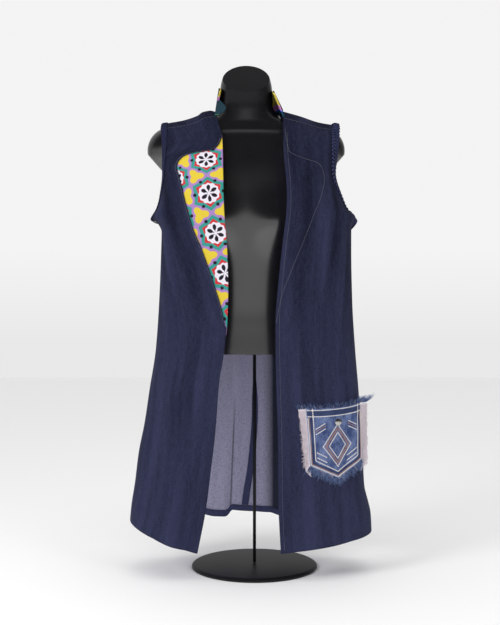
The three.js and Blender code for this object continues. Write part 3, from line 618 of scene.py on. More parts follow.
def print_paint(name):
    """Wax-print repeat on a six-way lattice: white discs with black petals in red and teal stars.

    All its sizes are in metres."""
    paint = Paint(name)
    yellow, lilac = srgb(218, 193, 54), srgb(163, 125, 186)
    teal, red = srgb(44, 146, 136), srgb(198, 42, 46)
    white, black = srgb(224, 220, 231), srgb(16, 14, 24)
    pitch = 0.0805
    column = pitch * 0.866
    x, y, _ = paint.split(paint.uv())
    wobble = paint.noise(paint.uv(), 90.0, 2.0)
    x = x + (wobble - 0.5) * 0.0022
    y = y + (wobble - 0.5) * 0.0022
    ax, ay = x.wrap(2 * column), y.wrap(pitch)
    bx, by = (x + column).wrap(2 * column), (y + pitch / 2).wrap(pitch)
    near = (ax * ax + ay * ay) < (bx * bx + by * by)
    cx = bx + (ax - bx) * near
    cy = by + (ay - by) * near
    r = (cx * cx + cy * cy).math("SQRT")
    angle = cx.math("ARCTAN2", cy)
    sixth = math.pi / 3
    tip = angle.wrap(sixth)
    petal_u, petal_w = r * tip.math("COSINE"), r * tip.math("SINE")

    def star(size, notch):
        slope = (size / notch - math.cos(sixth / 2)) / math.sin(sixth / 2)
        return (petal_u + petal_w.size() * slope) < size

    def oval(u, w, centre, length, width):
        du = (u - centre) / length
        dw = w / width
        return (du * du + dw * dw) < 1.0

    side = (angle + sixth / 2).wrap(sixth)
    notch_u, notch_w = r * side.math("COSINE"), r * side.math("SINE")
    corner_u = notch_u * -1.0 + pitch * 0.577
    reach = (corner_u * corner_u + notch_w * notch_w).math("SQRT")
    lobe = (notch_w.math("ARCTAN2", corner_u) * 3.0).math("COSINE")
    blob = reach < (lobe * -0.0042 + 0.0135)
    shade = paint.blend(blob, lilac, yellow)
    shade = paint.blend(star(0.0362, 0.0292), shade, teal)
    shade = paint.blend(star(0.0285, 0.0214), shade, red)
    disc = r < ((angle * 12.0).math("COSINE") * 0.0009 + 0.0206)
    shade = paint.blend(disc, shade, white)
    petal = oval(petal_u, petal_w, 0.0116, 0.0056, 0.0037).math(
        "MAXIMUM", (petal_w.size() < ((petal_u - 0.002) * 0.3)) * (petal_u < 0.0112))
    shade = paint.blend(petal, shade, black)
    shade = paint.blend(oval(notch_u, notch_w, 0.0287, 0.0034, 0.0034), shade, black)
    fade = paint.noise(paint.uv(), 700.0, 2.0)
    shade = paint.blend(fade * 0.12, shade, srgb(120, 100, 120))
    paint.colour(shade)
    paint.rough(0.8)
    threads = paint.noise(paint.scaled(paint.uv(), 1800, 600), 1.0, 2.0)
    paint.bump(threads, 0.0003, 0.5)
    return paint.material


def banded_paint(name, bands, slope=0.0):
    """The collar's part of the print: slanting bands of colour up its height, with uneven edges."""
    paint = Paint(name)
    u, v, _ = paint.split(paint.uv())
    wobble = (paint.noise(paint.uv(), 60.0, 3.0) - 0.5) * 0.008
    up = v + wobble + u * slope
    shade = bands[0][1]
    for start, colour in bands[1:]:
        shade = paint.blend(up > start, shade, colour)
    grain = paint.noise(paint.uv(), 700.0, 2.0)
    paint.colour(paint.blend(grain * 0.2, shade, srgb(90, 70, 90)))
    paint.rough(0.8)
    paint.bump(grain, 0.0003, 0.5)
    return paint.material


PRINT = print_paint("printed_cotton_flowers")
COLLAR_PRINT = banded_paint("printed_cotton_bands", [
    (0.0, srgb(18, 88, 108)),
    (0.028, srgb(36, 104, 226)),
    (0.0315, srgb(222, 148, 222)),
    (0.043, srgb(228, 208, 90)),
], 0.055)
CORNER_PRINT = banded_paint("printed_cotton_corner", [(0.0, srgb(11, 54, 64)), (0.030, srgb(9, 46, 60))])


def plain_paint(name, colour, rough, metal=0.0, shine=0.25, coat=0.0, grain=300.0, amount=0.1, depth=0.0002):
    """One colour with a fine grain in its tone, roughness and relief."""
    paint = Paint(name)
    fine = paint.noise(paint.place(), grain, 3.0)
    darker = tuple(c * 0.6 for c in colour)
    paint.colour(paint.blend(fine, darker, colour))
    paint.rough(fine * amount + rough)
    paint.shader.inputs["Metallic"].default_value = metal
    paint.shader.inputs["Specular IOR Level"].default_value = shine
    paint.shader.inputs["Coat Weight"].default_value = coat
    paint.shader.inputs["Coat Roughness"].default_value = 0.24
    paint.bump(fine, depth, 0.4)
    return paint.material


def thread_paint(name, colour):
    return plain_paint("thread_" + name, colour, 0.8, grain=2500.0)


FORM = plain_paint("black_moulded_shell", srgb(17, 16, 20), 0.26, shine=0.85, coat=1.0, grain=35.0,
                   amount=0.06, depth=0.0001)
STAND = plain_paint("black_painted_steel", srgb(24, 24, 27), 0.4, grain=500.0)
STEEL = plain_paint("stud_silver", srgb(210, 208, 206), 0.2, metal=1.0, grain=400.0)
THREAD = thread_paint("pale", srgb(124, 128, 134))
THREAD_WHITE = thread_paint("off_white", srgb(244, 240, 238))
THREAD_TAN = thread_paint("tan", srgb(190, 142, 116))
THREAD_DARK = thread_paint("dark", srgb(60, 64, 90))
THREAD_GREEN = thread_paint("green", srgb(110, 200, 110))
FRINGE = plain_paint("fringe_blue", srgb(104, 122, 166), 0.9, grain=1200.0)
FRINGE_DARK = plain_paint("fringe_dark", srgb(52, 62, 98), 0.9, grain=1200.0)
FRINGE_PALE = plain_paint("fringe_pale", srgb(228, 216, 224), 0.9, grain=1200.0)

# Cloth panels: height and distance of the denim's cut edge, and of the print's hidden edge under it
outline_x = curve([
    (500, 46), (540, 54), (584, 67.5), (658, 93), (706, 113), (770, 130), (815, 142), (826, 145.5),
    (837, 143), (848, 134), (853, 124), (857, 108), (860, 81), (864, 69), (875, 60), (889, 55),
])
reach_x = curve([
    (488, 55), (530, 64), (584, 77), (658, 102), (706, 122), (770, 139), (815, 151), (828, 154.5),
    (844, 152), (856, 142), (864, 124), (869, 92), (876, 76), (886, 68), (896, 63),
])
# Heights between which the denim is cut back from the print
CUT_LOW = 505
CUT_TOP = 889
# How far the print reaches past the opening, and how near the backs come to the centre
PRINT_PAST = 0.004
BACK_START = 0.0008


def lapel_place(h):
    """Place where the right front's denim begins: at the opening, or at the cut edge beside the print."""
    inside = (h > CUT_LOW) & (h < CUT_TOP)
    return np.where(inside, np.maximum(front_place("right", outline_x(h), h), 0), 0)


def spaced(stops, weights):
    """Heights for 0..1 that give some stretches more rows than others."""
    share = np.concatenate([[0], np.cumsum(np.diff(stops) * weights)])
    return lambda t: np.interp(t, share / share[-1], stops)


def right_front(u, v):
    return front_point("right", mix(lapel_place(v), 1 - SEAM_PLACE, u), v)


def left_front(u, v):
    return front_point("left", mix(0, 1 - SEAM_PLACE, u), v)


def back_side(side):
    return lambda u, v: back_point(side, mix(BACK_START, 1 - SEAM_PLACE, u), v)


def print_sheet(u, v):
    return front_point("right", mix(-PRINT_PAST, front_place("right", reach_x(v), v), u), v)


def to_seam(t):
    return mix(HEM, SEAM - TOP_GAP, t)


# The print's top flower, and how its rows lean and bend towards the front edge lower down
FLOWER_X = -86.5
FLOWER_H = 841
PRINT_LEAN = 0.04
PRINT_BEND = 0.00099
PRINT_EASE = 9
profile_h = np.linspace(480, 900, 200)
profile_run = run_of(np.stack([FRONT["inY"](profile_h), FRONT["inZ"](profile_h)], -1))


def on_print(across, h):
    """Place on the printed cloth, whose rows of flowers follow a bent line."""
    run = np.interp(FLOWER_H, profile_h, profile_run) - np.interp(h, profile_h, profile_run)
    run = run + PRINT_EASE * ease((FLOWER_H - h) / 60)
    aside = -SIDES["right"]["in"](h) - across / MM - FLOWER_X
    along = run
    for _ in range(3):
        tilt = PRINT_LEAN + PRINT_BEND * along
        off = (aside - PRINT_LEAN * along - PRINT_BEND / 2 * along ** 2) / np.cos(tilt)
        along = run + off * np.sin(tilt)
    return off * MM, along * MM


lapel_rows = spaced([HEM, 820, 868, SEAM - TOP_GAP], [1, 5, 1.6])
right = cloth_sheet("cloth_front_right", right_front, 90, 260, 0, CLOTH, [DENIM, DENIM_IN], "denim",
                    ["front_right"], lapel_rows)
left = cloth_sheet("cloth_front_left", left_front, 90, 220, 0, CLOTH, [DENIM, DENIM_IN], "denim",
                   ["front_left"], to_seam)
back_rows = spaced([HEM, 930, BACK_SEAM - TOP_GAP], [1, 1.6])
back_r = cloth_sheet("cloth_back_right", back_side("right"), 90, 230, 0, CLOTH, [DENIM, DENIM_BACK_IN_PAINTED_SHADE],
                     "denim", ["back_right"], back_rows)
back_l = cloth_sheet("cloth_back_left", back_side("left"), 90, 230, 0, CLOTH, [DENIM, DENIM_BACK_IN_PAINTED_SHADE],
                     "denim", ["back_left"], back_rows)
lapel = cloth_sheet("cloth_lapel_print", print_sheet, 40, 160, INSIDE, TRIM, [PRINT, PRINT],
                    "printed_cotton", ["lapel_print"], lambda t: mix(488, 896, t), on_print)

# Collar: share of its length, then its lower and its upper edge
COLLAR = table([
    (0, -68, -32, 939, -58, -36, 990), (0.16, -70, 0, 956, -63, -3, 1003),
    (0.32, -60, 34, 953, -54, 34, 1003), (0.5, 0, 70, 944, 0, 66, 1001),
    (0.68, 60, 34, 953, 49, 34, 1002), (0.84, 71, 0, 956, 51.5, -3, 998),
    (1, 69, -32, 938, 50, -40, 985),
], ["lowX", "lowY", "lowZ", "topX", "topY", "topZ"])
COLLAR_SWAY = 0.5
COLLAR_LIFT = 2.2
# The print's gap inside the denim layer, and how it is turned out round that layer's front ends
COLLAR_GAP = 1.6
COLLAR_TURN = 0.05
TURN_OUT = 4.5


def collar_point(u, v):
    """Point on the collar: u along it from the right end, v up from the neck seam."""
    c, t = np.broadcast_arrays(np.asarray(u, float), np.asarray(v, float))
    low = [COLLAR[k](c) for k in ("lowX", "lowY", "lowZ")]
    top = [COLLAR[k](c) for k in ("topX", "topY", "topZ")]
    soft = COLLAR_SWAY * np.sin(c * 31) * np.sin(t * 3)
    x, y, z = (mix(a, b, t) for a, b in zip(low, top))
    return np.stack([x, y + soft, z + COLLAR_LIFT * (1 - t)], -1)


def collar_denim_point(u, v):
    return collar_point(mix(COLLAR_TURN * 0.8, 1 - COLLAR_TURN * 0.8, u), v)


def collar_print_point(u, v):
    """Below the neck seam the print reaches further down round the back than at its front ends."""
    longer = 1 + 1.5 * ease(np.minimum(u, 1 - u) / 0.12)
    points = collar_point(u, np.where(v < 0, v * longer, v))
    turned = ease((u - 1 + COLLAR_TURN) / COLLAR_TURN) - ease((COLLAR_TURN - u) / COLLAR_TURN)
    points[..., 0] += TURN_OUT * turned
    return points


collar_out = cloth_sheet("cloth_collar_denim", collar_denim_point, 120, 16, 0, TRIM, [DENIM, DENIM],
                         "denim", ["collar_denim"], lambda t: t)
collar_in = cloth_sheet("cloth_collar_print", collar_print_point, 160, 16, -COLLAR_GAP, TRIM,
                        [COLLAR_PRINT, COLLAR_PRINT], "printed_cotton", ["collar_print"],
                        lambda t: mix(-0.1, 1, t))
# The folded corner at the right front end: share of the way down, outer and inner edge, depth, height
CORNER = table([(0, -65, -60, -35.6, 970), (0.45, -68.5, -47, -34.6, 954), (1, -71, -60, -33.6, 940)],
               ["outX", "inX", "y", "z"])
CORNER_FORWARD = 8


def corner_point(u, v):
    a, t = np.broadcast_arrays(np.asarray(u, float), np.asarray(v, float))
    x = mix(CORNER["outX"](t), CORNER["inX"](t), a)
    return np.stack([x, CORNER["y"](t) - CORNER_FORWARD * a, CORNER["z"](t)], -1)


corner = cloth_sheet("cloth_collar_corner", corner_point, 12, 20, 0, TRIM, [CORNER_PRINT, CORNER_PRINT],
                     "printed_cotton", ["collar_corner"], lambda t: t)

for worn_inside in (collar_in, corner):
    worn_inside.visible_glossy = False

# Armhole bands: height and width
BAND = {
    "right": curve([(729, 11), (938, 11)]),
    "left": curve([(729, 24), (790, 24), (850, 19), (938, 14)]),
}
# Section of the turned band: share of its width, distance beyond the cloth's edge, distance off the cloth
BAND_SECTION = [(0.5, 0, -1.4), (0.1, 0, -1.5), (0, 1.5, -0.9), (0, 2.0, 0.3), (0, 1.6, 1.5), (0.1, 0, 2.2),
                (0.3, 0, 2.4), (0.5, 0, 2.4), (0.7, 0, 2.3), (0.9, 0, 2.0), (1, 0, 1.4)]
BAND_WALL = 0.8
# Height above the tip over which the band's width swings from downwards to sideways
TIP_BEND = 24
# The band's sections crowd towards its lowest tips, and its ribs are waves along its run
BAND_CROWD = 1.4
RIB_STEP = 1.305
# How far the band's lowest tips stand out and hang down
EAR = 5
EAR_REACH = 13
EAR_DROP = {"right": 2, "left": 5}
EAR_DROP_REACH = 8


def place_inward(surface, h, room):
    """Place on a section a given distance in from its outer end."""
    qs = 1 - SEAM_PLACE - np.arange(0, 0.5, 0.004)
    points = surface(qs, np.full_like(qs, h))
    away = np.linalg.norm(points - points[0], axis=-1)
    return float(np.interp(room, np.maximum.accumulate(away), qs))


def band_rows(surface, heights, wide):
    """Edge points, inner points and outward normals of a band along one stretch of the armhole."""
    edge, inner, out = [], [], []
    for h in heights:
        sideways = float(ease((h - TIP) / TIP_BEND))
        low = h - wide(h) * (1 - sideways)
        q = np.array([1 - SEAM_PLACE, place_inward(surface, low, wide(h) * sideways)])
        here = surface(q, np.array([h, low]))
        normal = normals_of(surface, q, np.array([h, low]))
        edge.append(here[0])
        inner.append(here[1])
        out.append(normal[0] + normal[1])
    return np.array(edge), np.array(inner), unit(np.array(out))


def band_loop(side):
    """The band's edge, its inner line and its outward normals, once round the armhole."""
    up_front = mix(TIP + 1.0, SEAM - 1, np.linspace(0, 1, 160) ** BAND_CROWD)
    down_back = mix(TIP + 1.0, BACK_SEAM - 1, np.linspace(1, 0, 190) ** BAND_CROWD)
    front_part = band_rows(front_surface(side), up_front, BAND[side])
    back_part = band_rows(back_surface(side), down_back, BAND[side])
    edge, inner, out = (np.concatenate([a, b, a[:1]]) for a, b in zip(front_part, back_part))
    above_tip = edge[:, 2] - TIP
    edge[:, 0] += SIDES[side]["sign"] * EAR * np.exp(-((above_tip / EAR_REACH) ** 2))
    edge[:, 2] -= EAR_DROP[side] * np.exp(-((above_tip / EAR_DROP_REACH) ** 2))
    return edge, inner, out


def armhole_band(side, pucker, paint):
    """The turned edge of an armhole, wrapped round the cloth's edge and gathered into small ribs."""
    edge, inner, out = band_loop(side)
    beyond = unit(np.cross(np.gradient(edge, axis=0), out))
    beyond *= np.where((beyond * (inner - edge)).sum(-1, keepdims=True) > 0, -1, 1)
    run = run_of(edge)
    rings = []
    for share, past, lift in BAND_SECTION:
        rib = pucker * math.sin(share * math.pi) * np.sin(run / RIB_STEP + 2.6 * share)
        sway = pucker * 0.7 * np.sin(run / RIB_STEP) * min(past, 1)
        off = lift + np.where(lift > 0, rib, 0)
        rings.append(mix(edge, inner, share) + beyond * (past + sway)[:, None] + out * off[:, None])
    points = np.stack(rings, 1)
    columns, across = len(run) - 1, len(rings) - 1
    mesh, u, v = grid_mesh("cloth_band_" + side, columns, across)
    spots = points[np.rint(u * columns).astype(int), np.rint(v * across).astype(int)]
    spots[:, 0] += GARMENT_SHIFT
    set_points(mesh, spots * MM)
    along, over = arc_lengths(spots * MM, columns, across, u, v)
    set_uv(mesh, along, over)
    obj = new_object("cloth_band_" + side, mesh, "denim_trim", "armhole_band_" + side)
    outward(mesh)
    finish_wall(obj, BAND_WALL, [paint, paint])
    return obj


def outward(mesh):
    """Turns a sheet's faces away from the vest's axis."""
    total = 0.0
    for polygon in mesh.polygons:
        centre = polygon.center
        total += polygon.normal.x * (centre.x - GARMENT_SHIFT * MM) + polygon.normal.y * centre.y
    if total < 0:
        mesh.flip_normals()


band_r = armhole_band("right", 0.25, DENIM_TRIM)
band_l = armhole_band("left", 1.2, DENIM_RIBBED)

# Inside strips
HEM_SPREAD = 0.93
SEAM_HALF = 6
SEAM_TOP = 430


def around_back(s, h):
    """Point on the whole back: s from -1 at the right side to 1 at the left side."""
    s, h = np.broadcast_arrays(np.asarray(s, float), np.asarray(h, float))
    q = np.maximum(np.abs(s), BACK_START)
    return np.where((s < 0)[..., None], back_point("right", q, h), back_point("left", q, h))


def hem_surface(u, v):
    return around_back((u * 2 - 1) * HEM_SPREAD, v)


def seam_surface(u, v):
    """The seam allowance, which narrows towards its upper end."""
    s, h = np.broadcast_arrays(np.asarray(u, float) * 2 - 1, np.asarray(v, float))
    x = np.abs(s) * SEAM_HALF * ease((SEAM_TOP - h) / 120 + 0.15)
    return around_back(np.sign(s) * place_of(np.maximum(0.001, x / 200), 1.0), h)


# The turned hem band and seam strip take the lighter copy of the turned denim, painted light against the
# shade inside the back
lightened_turned_sides = [DENIM_TURNED_IN_PAINTED_LIGHTER, DENIM_TURNED_IN_PAINTED_LIGHTER]
hem_band = cloth_sheet("cloth_back_hem", hem_surface, 160, 4, INSIDE - 0.4, TRIM, lightened_turned_sides,
                       "denim_trim", ["back_hem_band"], lambda t: mix(HEM + 0.5, HEM + 14, t))
seam_strip = cloth_sheet("cloth_back_seam", seam_surface, 4, 80, INSIDE, TRIM, lightened_turned_sides,
                         "denim_trim", ["centre_back_seam"], lambda t: mix(HEM + 15, 415, t))

# Patch pocket: a runs across from its middle, b down from its top edge. Its middle lies POCKET_ARC along the
# cloth from the opening, its cut top edge sags, and it shrinks a little upwards from its full side.
POCKET_ARC = 118
POCKET_TOP = 354
POCKET_HALF = 62
POCKET_SIDE = 128
POCKET_POINT = 30
POCKET_TILT = 0.075
POCKET_TOP_SAG = 3.5
POCKET_TOP_DROP = 7
POCKET_SHRINK = 7
POCKET_LIFT = 5
STRIP = 15
ARC_STEPS = 80
# Width at the top, how much of it is lost lower down, and how far the middle stands and leans aside
TOP_SHARE = 1.03
WIDTH_LOSS = 0.11
MIDDLE_ASIDE = 2
MIDDLE_LEAN = 0.7


def pocket_point(a, b):
    """Point on the left front at (a, b); past the pocket's half width its strip runs on off the cloth."""
    a, b = np.broadcast_arrays(np.asarray(a, float), np.asarray(b, float))
    shape = a.shape
    a, b = a.reshape(-1), b.reshape(-1)
    h = POCKET_TOP - b + a * POCKET_TILT
    reach = np.minimum(a, POCKET_HALF)
    qs = np.linspace(0, 1, ARC_STEPS + 1)
    lines = front_point("left", qs[None, :], h[:, None])
    step = np.linalg.norm(np.diff(lines, axis=1), axis=-1)
    length = np.concatenate([np.zeros((len(a), 1)), np.cumsum(step, axis=1)], axis=1)
    target = POCKET_ARC + reach
    i = np.clip((length < target[:, None]).sum(1) - 1, 0, ARC_STEPS - 1)
    row = np.arange(len(a))
    q = (i + (target - length[row, i]) / step[row, i]) / ARC_STEPS
    point = front_point("left", q, h)
    lift = POCKET_LIFT * ease((reach - 10) / 48)
    free = a - reach
    point[:, 0] += lift * 0.6 + free * 0.95
    point[:, 1] += free * 0.3 - lift * 0.8
    return point.reshape(shape + (3,))


def pocket_normal(a, b):
    along = pocket_point(a + 0.5, b) - pocket_point(a - 0.5, b)
    down = pocket_point(a, b + 0.5) - pocket_point(a, b - 0.5)
    n = unit(np.cross(down, along))
    return n * -np.sign(n[..., 1:2])


def pocket_at(a, b, lift):
    """Point on the pocket, which narrows a little towards its lower end."""
    a, b = np.broadcast_arrays(np.asarray(a, float), np.asarray(b, float))
    down = b / POCKET_SIDE
    a = a * (TOP_SHARE - WIDTH_LOSS * down) + MIDDLE_ASIDE + MIDDLE_LEAN * down
    point = pocket_point(a, b) + pocket_normal(a, b) * np.asarray(lift)[..., None]
    point[..., 0] += GARMENT_SHIFT
    return point


def pocket_start(a):
    """How far below the pocket's top line its cut edge hangs."""
    return POCKET_TOP_DROP + POCKET_TOP_SAG * (1 - np.minimum(np.abs(a) / POCKET_HALF, 1) ** 2)


def pocket_drop(a):
    """How far below the pocket's top line its pointed lower edge lies."""
    return POCKET_SIDE - POCKET_SHRINK + POCKET_POINT * (1 - np.minimum(np.abs(a) / POCKET_HALF, 1))


def pocket_sheet(name, columns, rows, place, node, slot, paint, lift_of):
    mesh, u, v = grid_mesh(name, columns, rows)
    a, b = place(u, v)
    set_points(mesh, pocket_at(a, b, ON_TOP + TRIM / 2 + lift_of(a, b)) * MM)
    set_uv(mesh, a * MM, b * MM)
    obj = new_object(name, mesh, slot, node)
    if sum(polygon.normal.y for polygon in mesh.polygons) > 0:
        mesh.flip_normals()
    finish_wall(obj, TRIM, [paint, paint])
    return obj


def pocket_relief(a, b):
    """Height of the pocket's cloth: raised inside its border and at its top hem, with soft unevenness."""
    edge = np.minimum(POCKET_HALF - np.abs(a), pocket_drop(a) - b)
    hem = ease((24 - b + pocket_start(a)) / 3)
    return 0.5 * ease((8 - edge) / 4) + 0.6 * hem + 0.4 * np.sin(a / 7 + b / 19) * np.sin(b / 13)


def patch_place(u, v):
    a = (u * 2 - 1) * POCKET_HALF
    return a, mix(pocket_start(a), pocket_drop(a), v)


patch = pocket_sheet("cloth_pocket", 90, 100, patch_place, "pocket_patch", "washed_denim", WASHED,
                     pocket_relief)


def strip_place(hand, top, low, taper):
    """A side strip's outline: uneven outer edge, narrower and slanting lower down."""
    def place(u, v):
        wide = STRIP - taper * v + 0.7 * np.sin(v * 23) + 0.5 * np.sin(v * 57 + 1)
        return hand * (POCKET_HALF - 1 + u * wide), mix(top, low - 12 * u, v)
    return place


def fuzz(a, b):
    """Unevenness of a raw edge's loose surface."""
    return 0.5 * np.sin(b * 0.9 + a) * np.sin(b * 0.37) + 0.3 * np.sin(a * 2.3)


strip_front = pocket_sheet("cloth_pocket_strip_front", 8, 120, strip_place(-1, 6, 143, 4),
                           "pocket_strip_front", "raw_denim", RAW, fuzz)
strip_side = pocket_sheet("cloth_pocket_strip_side", 8, 120, strip_place(1, 14, 145, -4),
                          "pocket_strip_side", "raw_denim", RAW, fuzz)

# Threads: strands and stitches
random = np.random.default_rng(7)


def strands(name, roots, middles, tips, radius, paint, slot, *replaced):
    """Three-sided bent threads, each through a root, a middle and a tip."""
    direction = unit(tips - roots)
    side = unit(np.cross(direction, [0.1, 1.0, 0.05]))
    other = np.cross(direction, side)
    rings = []
    for centre, thin in ((roots, 1.0), (middles, 0.85), (tips, 0.35)):
        for edge in range(3):
            angle = edge * 2 * math.pi / 3
            spoke = side * math.cos(angle) + other * math.sin(angle)
            rings.append(centre + spoke * radius * thin)
    points = np.stack(rings, 1).reshape(-1, 3)
    faces = []
    for base in range(0, len(points), len(rings)):
        faces += [(base, base + 2, base + 1), (base + 6, base + 7, base + 8)]
        for ring in (base, base + 3):
            for here, after in ((0, 1), (1, 2), (2, 0)):
                faces.append((ring + here, ring + after, ring + 3 + after, ring + 3 + here))
    mesh = bpy.data.meshes.new(name)
    mesh.from_pydata((points * MM).tolist(), [], faces)
    mesh.update()
    bm = bmesh.new()
    bm.from_mesh(mesh)
    bmesh.ops.recalc_face_normals(bm, faces=bm.faces)
    bm.to_mesh(mesh)
    bm.free()
    obj = new_object(name, mesh, slot, *replaced)
    obj.data.materials.append(paint)
    return obj


def fringe(name, count, root, out, low, high, radius, paint, *replaced):
    """Frayed threads along a pocket edge.

    Root gives places for 0..1, out the way that threads point, low and high the range of their reach."""
    part = random.random(count)
    a, b = root(part)
    da, db = out(part)
    reach = low + (high - low) * random.random(count) ** 1.6
    sway = random.normal(0, 0.35, count)
    lift = ON_TOP + TRIM * random.random(count)
    tip_a, tip_b = a + (da + sway) * reach, b + (db + random.normal(0, 0.15, count)) * reach
    mid_a = (a + tip_a) / 2 + random.normal(0, 1.2, count)
    mid_b = (b + tip_b) / 2 + random.normal(0, 0.6, count)
    return strands(name, pocket_at(a, b, lift), pocket_at(mid_a, mid_b, lift + 0.8 + random.random(count)),
                   pocket_at(tip_a, tip_b, lift + 2.2 * random.random(count) - 0.3), radius, paint,
                   "denim_fringe", *replaced)


TOP_WIDTH = POCKET_HALF + STRIP - 1


def top_root(part):
    a = (part * 2 - 1) * TOP_WIDTH
    return a, pocket_start(a) + 1


def low_root(part):
    a = (part * 2 - 1) * POCKET_HALF
    return a, pocket_drop(a) - 0.8


def up_way(part):
    return (part * 2 - 1) * 0.35, np.full_like(part, -1.0)


def down_way(part):
    return (part * 2 - 1) * 0.5, np.full_like(part, 1.0)


def tuft_root(part):
    """Thicker fraying at the top edge's outer end."""
    a = mix(48, 76, part)
    return a, pocket_start(a) + 2


def tuft_way(part):
    return 0.3 + 0.9 * part, np.full_like(part, -1.0)


fringe("fringe_top", 420, top_root, up_way, 4, 13, 0.42, FRINGE, "pocket_fringe_top")
fringe("fringe_top_dark", 380, top_root, up_way, 4, 12, 0.42, FRINGE_DARK)
fringe("fringe_top_pale", 50, top_root, up_way, 3, 9, 0.35, FRINGE_PALE)
fringe("fringe_top_tuft", 170, tuft_root, tuft_way, 7, 15, 0.45, FRINGE)
fringe("fringe_bottom", 640, low_root, down_way, 9, 18, 0.45, FRINGE, "pocket_fringe_bottom")
fringe("fringe_bottom_dark", 300, low_root, down_way, 8, 16, 0.42, FRINGE_DARK)
fringe("fringe_bottom_pale", 60, low_root, down_way, 5, 13, 0.35, FRINGE_PALE)


def strip_root(hand):
    """Places along a side strip, over its whole width."""
    def root(part):
        wide = random.random(len(part))
        return hand * (POCKET_HALF + 1 + (STRIP - 2.5) * wide), 10 + part * (POCKET_SIDE - 14)
    return root


def strip_way(hand):
    return lambda part: (np.full_like(part, hand * 0.8), np.full_like(part, 0.5))


fringe("fringe_strip_side", 700, strip_root(1), strip_way(1), 2, 6, 0.45, FRINGE_PALE)
fringe("fringe_strip_front", 700, strip_root(-1), strip_way(-1), 1.5, 4.5, 0.45, FRINGE_PALE)


def spots_at(stops, points):
    """Spots on a path at given distances along it."""
    run = run_of(points)
    return np.stack([np.interp(stops, run, points[:, k]) for k in range(points.shape[1])], -1)


def walk(points, pitch):
    """Evenly spaced spots and directions along a path."""
    stops = np.arange(pitch / 2, run_of(points)[-1], pitch)
    return spots_at(stops, points), unit(spots_at(stops + 0.5, points) - spots_at(stops - 0.5, points))


def stitches(name, lines, length, pitch, radius, paint, slot):
    """A row of small rounded stitches along each path, in millimetres."""
    bm = bmesh.new()
    bmesh.ops.create_uvsphere(bm, u_segments=6, v_segments=4, radius=1)
    bead = bpy.data.meshes.new(name + "_bead")
    bm.to_mesh(bead)
    bm.free()
    shape = np.array([v.co for v in bead.vertices]) * [radius, radius, length / 2]
    loops = [tuple(polygon.vertices) for polygon in bead.polygons]
    points, faces = [], []
    for line in lines:
        for spot, ahead in zip(*walk(line, pitch)):
            side = unit(np.cross(ahead, [0.02, -1.0, 0.1]))
            other = np.cross(ahead, side)
            start = len(points) * len(shape)
            points.append(spot + shape[:, :1] * side + shape[:, 1:2] * other + shape[:, 2:] * ahead)
            faces += [tuple(k + start for k in loop) for loop in loops]
    mesh = bpy.data.meshes.new(name)
    mesh.from_pydata((np.concatenate(points) * MM).tolist(), [], faces)
    mesh.update()
    bpy.data.meshes.remove(bead)
    obj = new_object(name, mesh, slot)
    obj.data.materials.append(paint)
    smooth(mesh)
    return obj


def front_thread(side, q, h):
    """Path just off a front's outer face through places q at heights h."""
    surface = front_surface(side)
    points = surface(q, h) + normals_of(surface, q, h) * THREAD_LIFT
    points[:, 0] += GARMENT_SHIFT
    return points


def on_front(side, x, h):
    return front_thread(side, front_place(side, x, h), h)


def shoulder_line(side):
    return front_thread(side, np.linspace(0.02, 0.97, 60), np.full(60, SEAM - 4.0))


# Height and distance of the left front's stitched outline
stitched_x = curve([
    (508, 53), (567, 65.5), (618, 85), (697, 117.5), (733, 131), (769.6, 144.6), (803, 151), (815, 149.6),
    (830, 143), (836, 134), (839, 122), (844, 106), (851, 90), (857, 81), (883, 76.5), (907, 73.5), (930, 74),
])


# How far in from an edge the rows of stitches run
CUT_INSET = 2.6
EDGE_INSET = 8
cut_h = np.linspace(512, 886, 200)
outline_h = np.concatenate([np.linspace(512, 825, 120), np.linspace(825.5, 860, 120),
                            np.linspace(861, 908, 30)])
low_h = np.linspace(62, 500, 160)
full_h = np.linspace(62, 900, 260)
stitches("stitch_lapel_edge", [on_front("right", outline_x(cut_h) + CUT_INSET, cut_h)], 2.6, 3.4, 0.32,
         THREAD, "denim")
stitches("stitch_outline", [on_front("left", stitched_x(outline_h), outline_h)], 2.8, 3.6, 0.36,
         THREAD, "denim")
stitches("stitch_fronts", [
    on_front("left", SIDES["left"]["in"](full_h) + EDGE_INSET, full_h),
    shoulder_line("right"),
    shoulder_line("left"),
], 2.6, 3.6, 0.3, THREAD, "denim")
stitches("stitch_right_edge", [on_front("right", SIDES["right"]["in"](low_h) + EDGE_INSET, low_h)],
         2.6, 3.6, 0.3, THREAD_DARK, "denim")

# The pocket's stitched pattern: how low the diamond's middle lies, and where the hem's short side rows are
DIAMOND_MIDDLE = 86
HEM_ROWS = 49


def pocket_line(spots):
    """Path on the pocket through (across, down) corners."""
    corners = np.array(spots, float)
    length = run_of(corners)[-1]
    a, b = spots_at(np.linspace(0, length, max(2, int(length / 2))), corners).T
    return pocket_at(a, b, ON_TOP + TRIM + pocket_relief(a, b) + 0.1)


def border(inset):
    """The pocket's outline below its hem, set in from its edge."""
    half = POCKET_HALF - inset
    side = POCKET_SIDE - POCKET_SHRINK - inset * 0.7
    low = POCKET_SIDE - POCKET_SHRINK + POCKET_POINT - inset
    return [(-half, 26), (-half, side), (0, low), (half, side), (half, 26)]


def diamond(wide, tall):
    left_corner = (-wide, DIAMOND_MIDDLE)
    return [left_corner, (0, DIAMOND_MIDDLE - tall), (wide, DIAMOND_MIDDLE), (0, DIAMOND_MIDDLE + tall),
            left_corner]


def bars(outer, inner, shifts):
    """Short slanting bars on both sides of the diamond, one for each shift downwards."""
    return [pocket_line([(hand * outer[0], outer[1] + shift), (hand * inner[0], inner[1] + shift)])
            for hand in (-1, 1) for shift in shifts]


def hem_line(below, half):
    """A row along the pocket's top edge."""
    a = np.linspace(-half, half, 30)
    return pocket_line(np.stack([a, pocket_start(a) + below], -1))


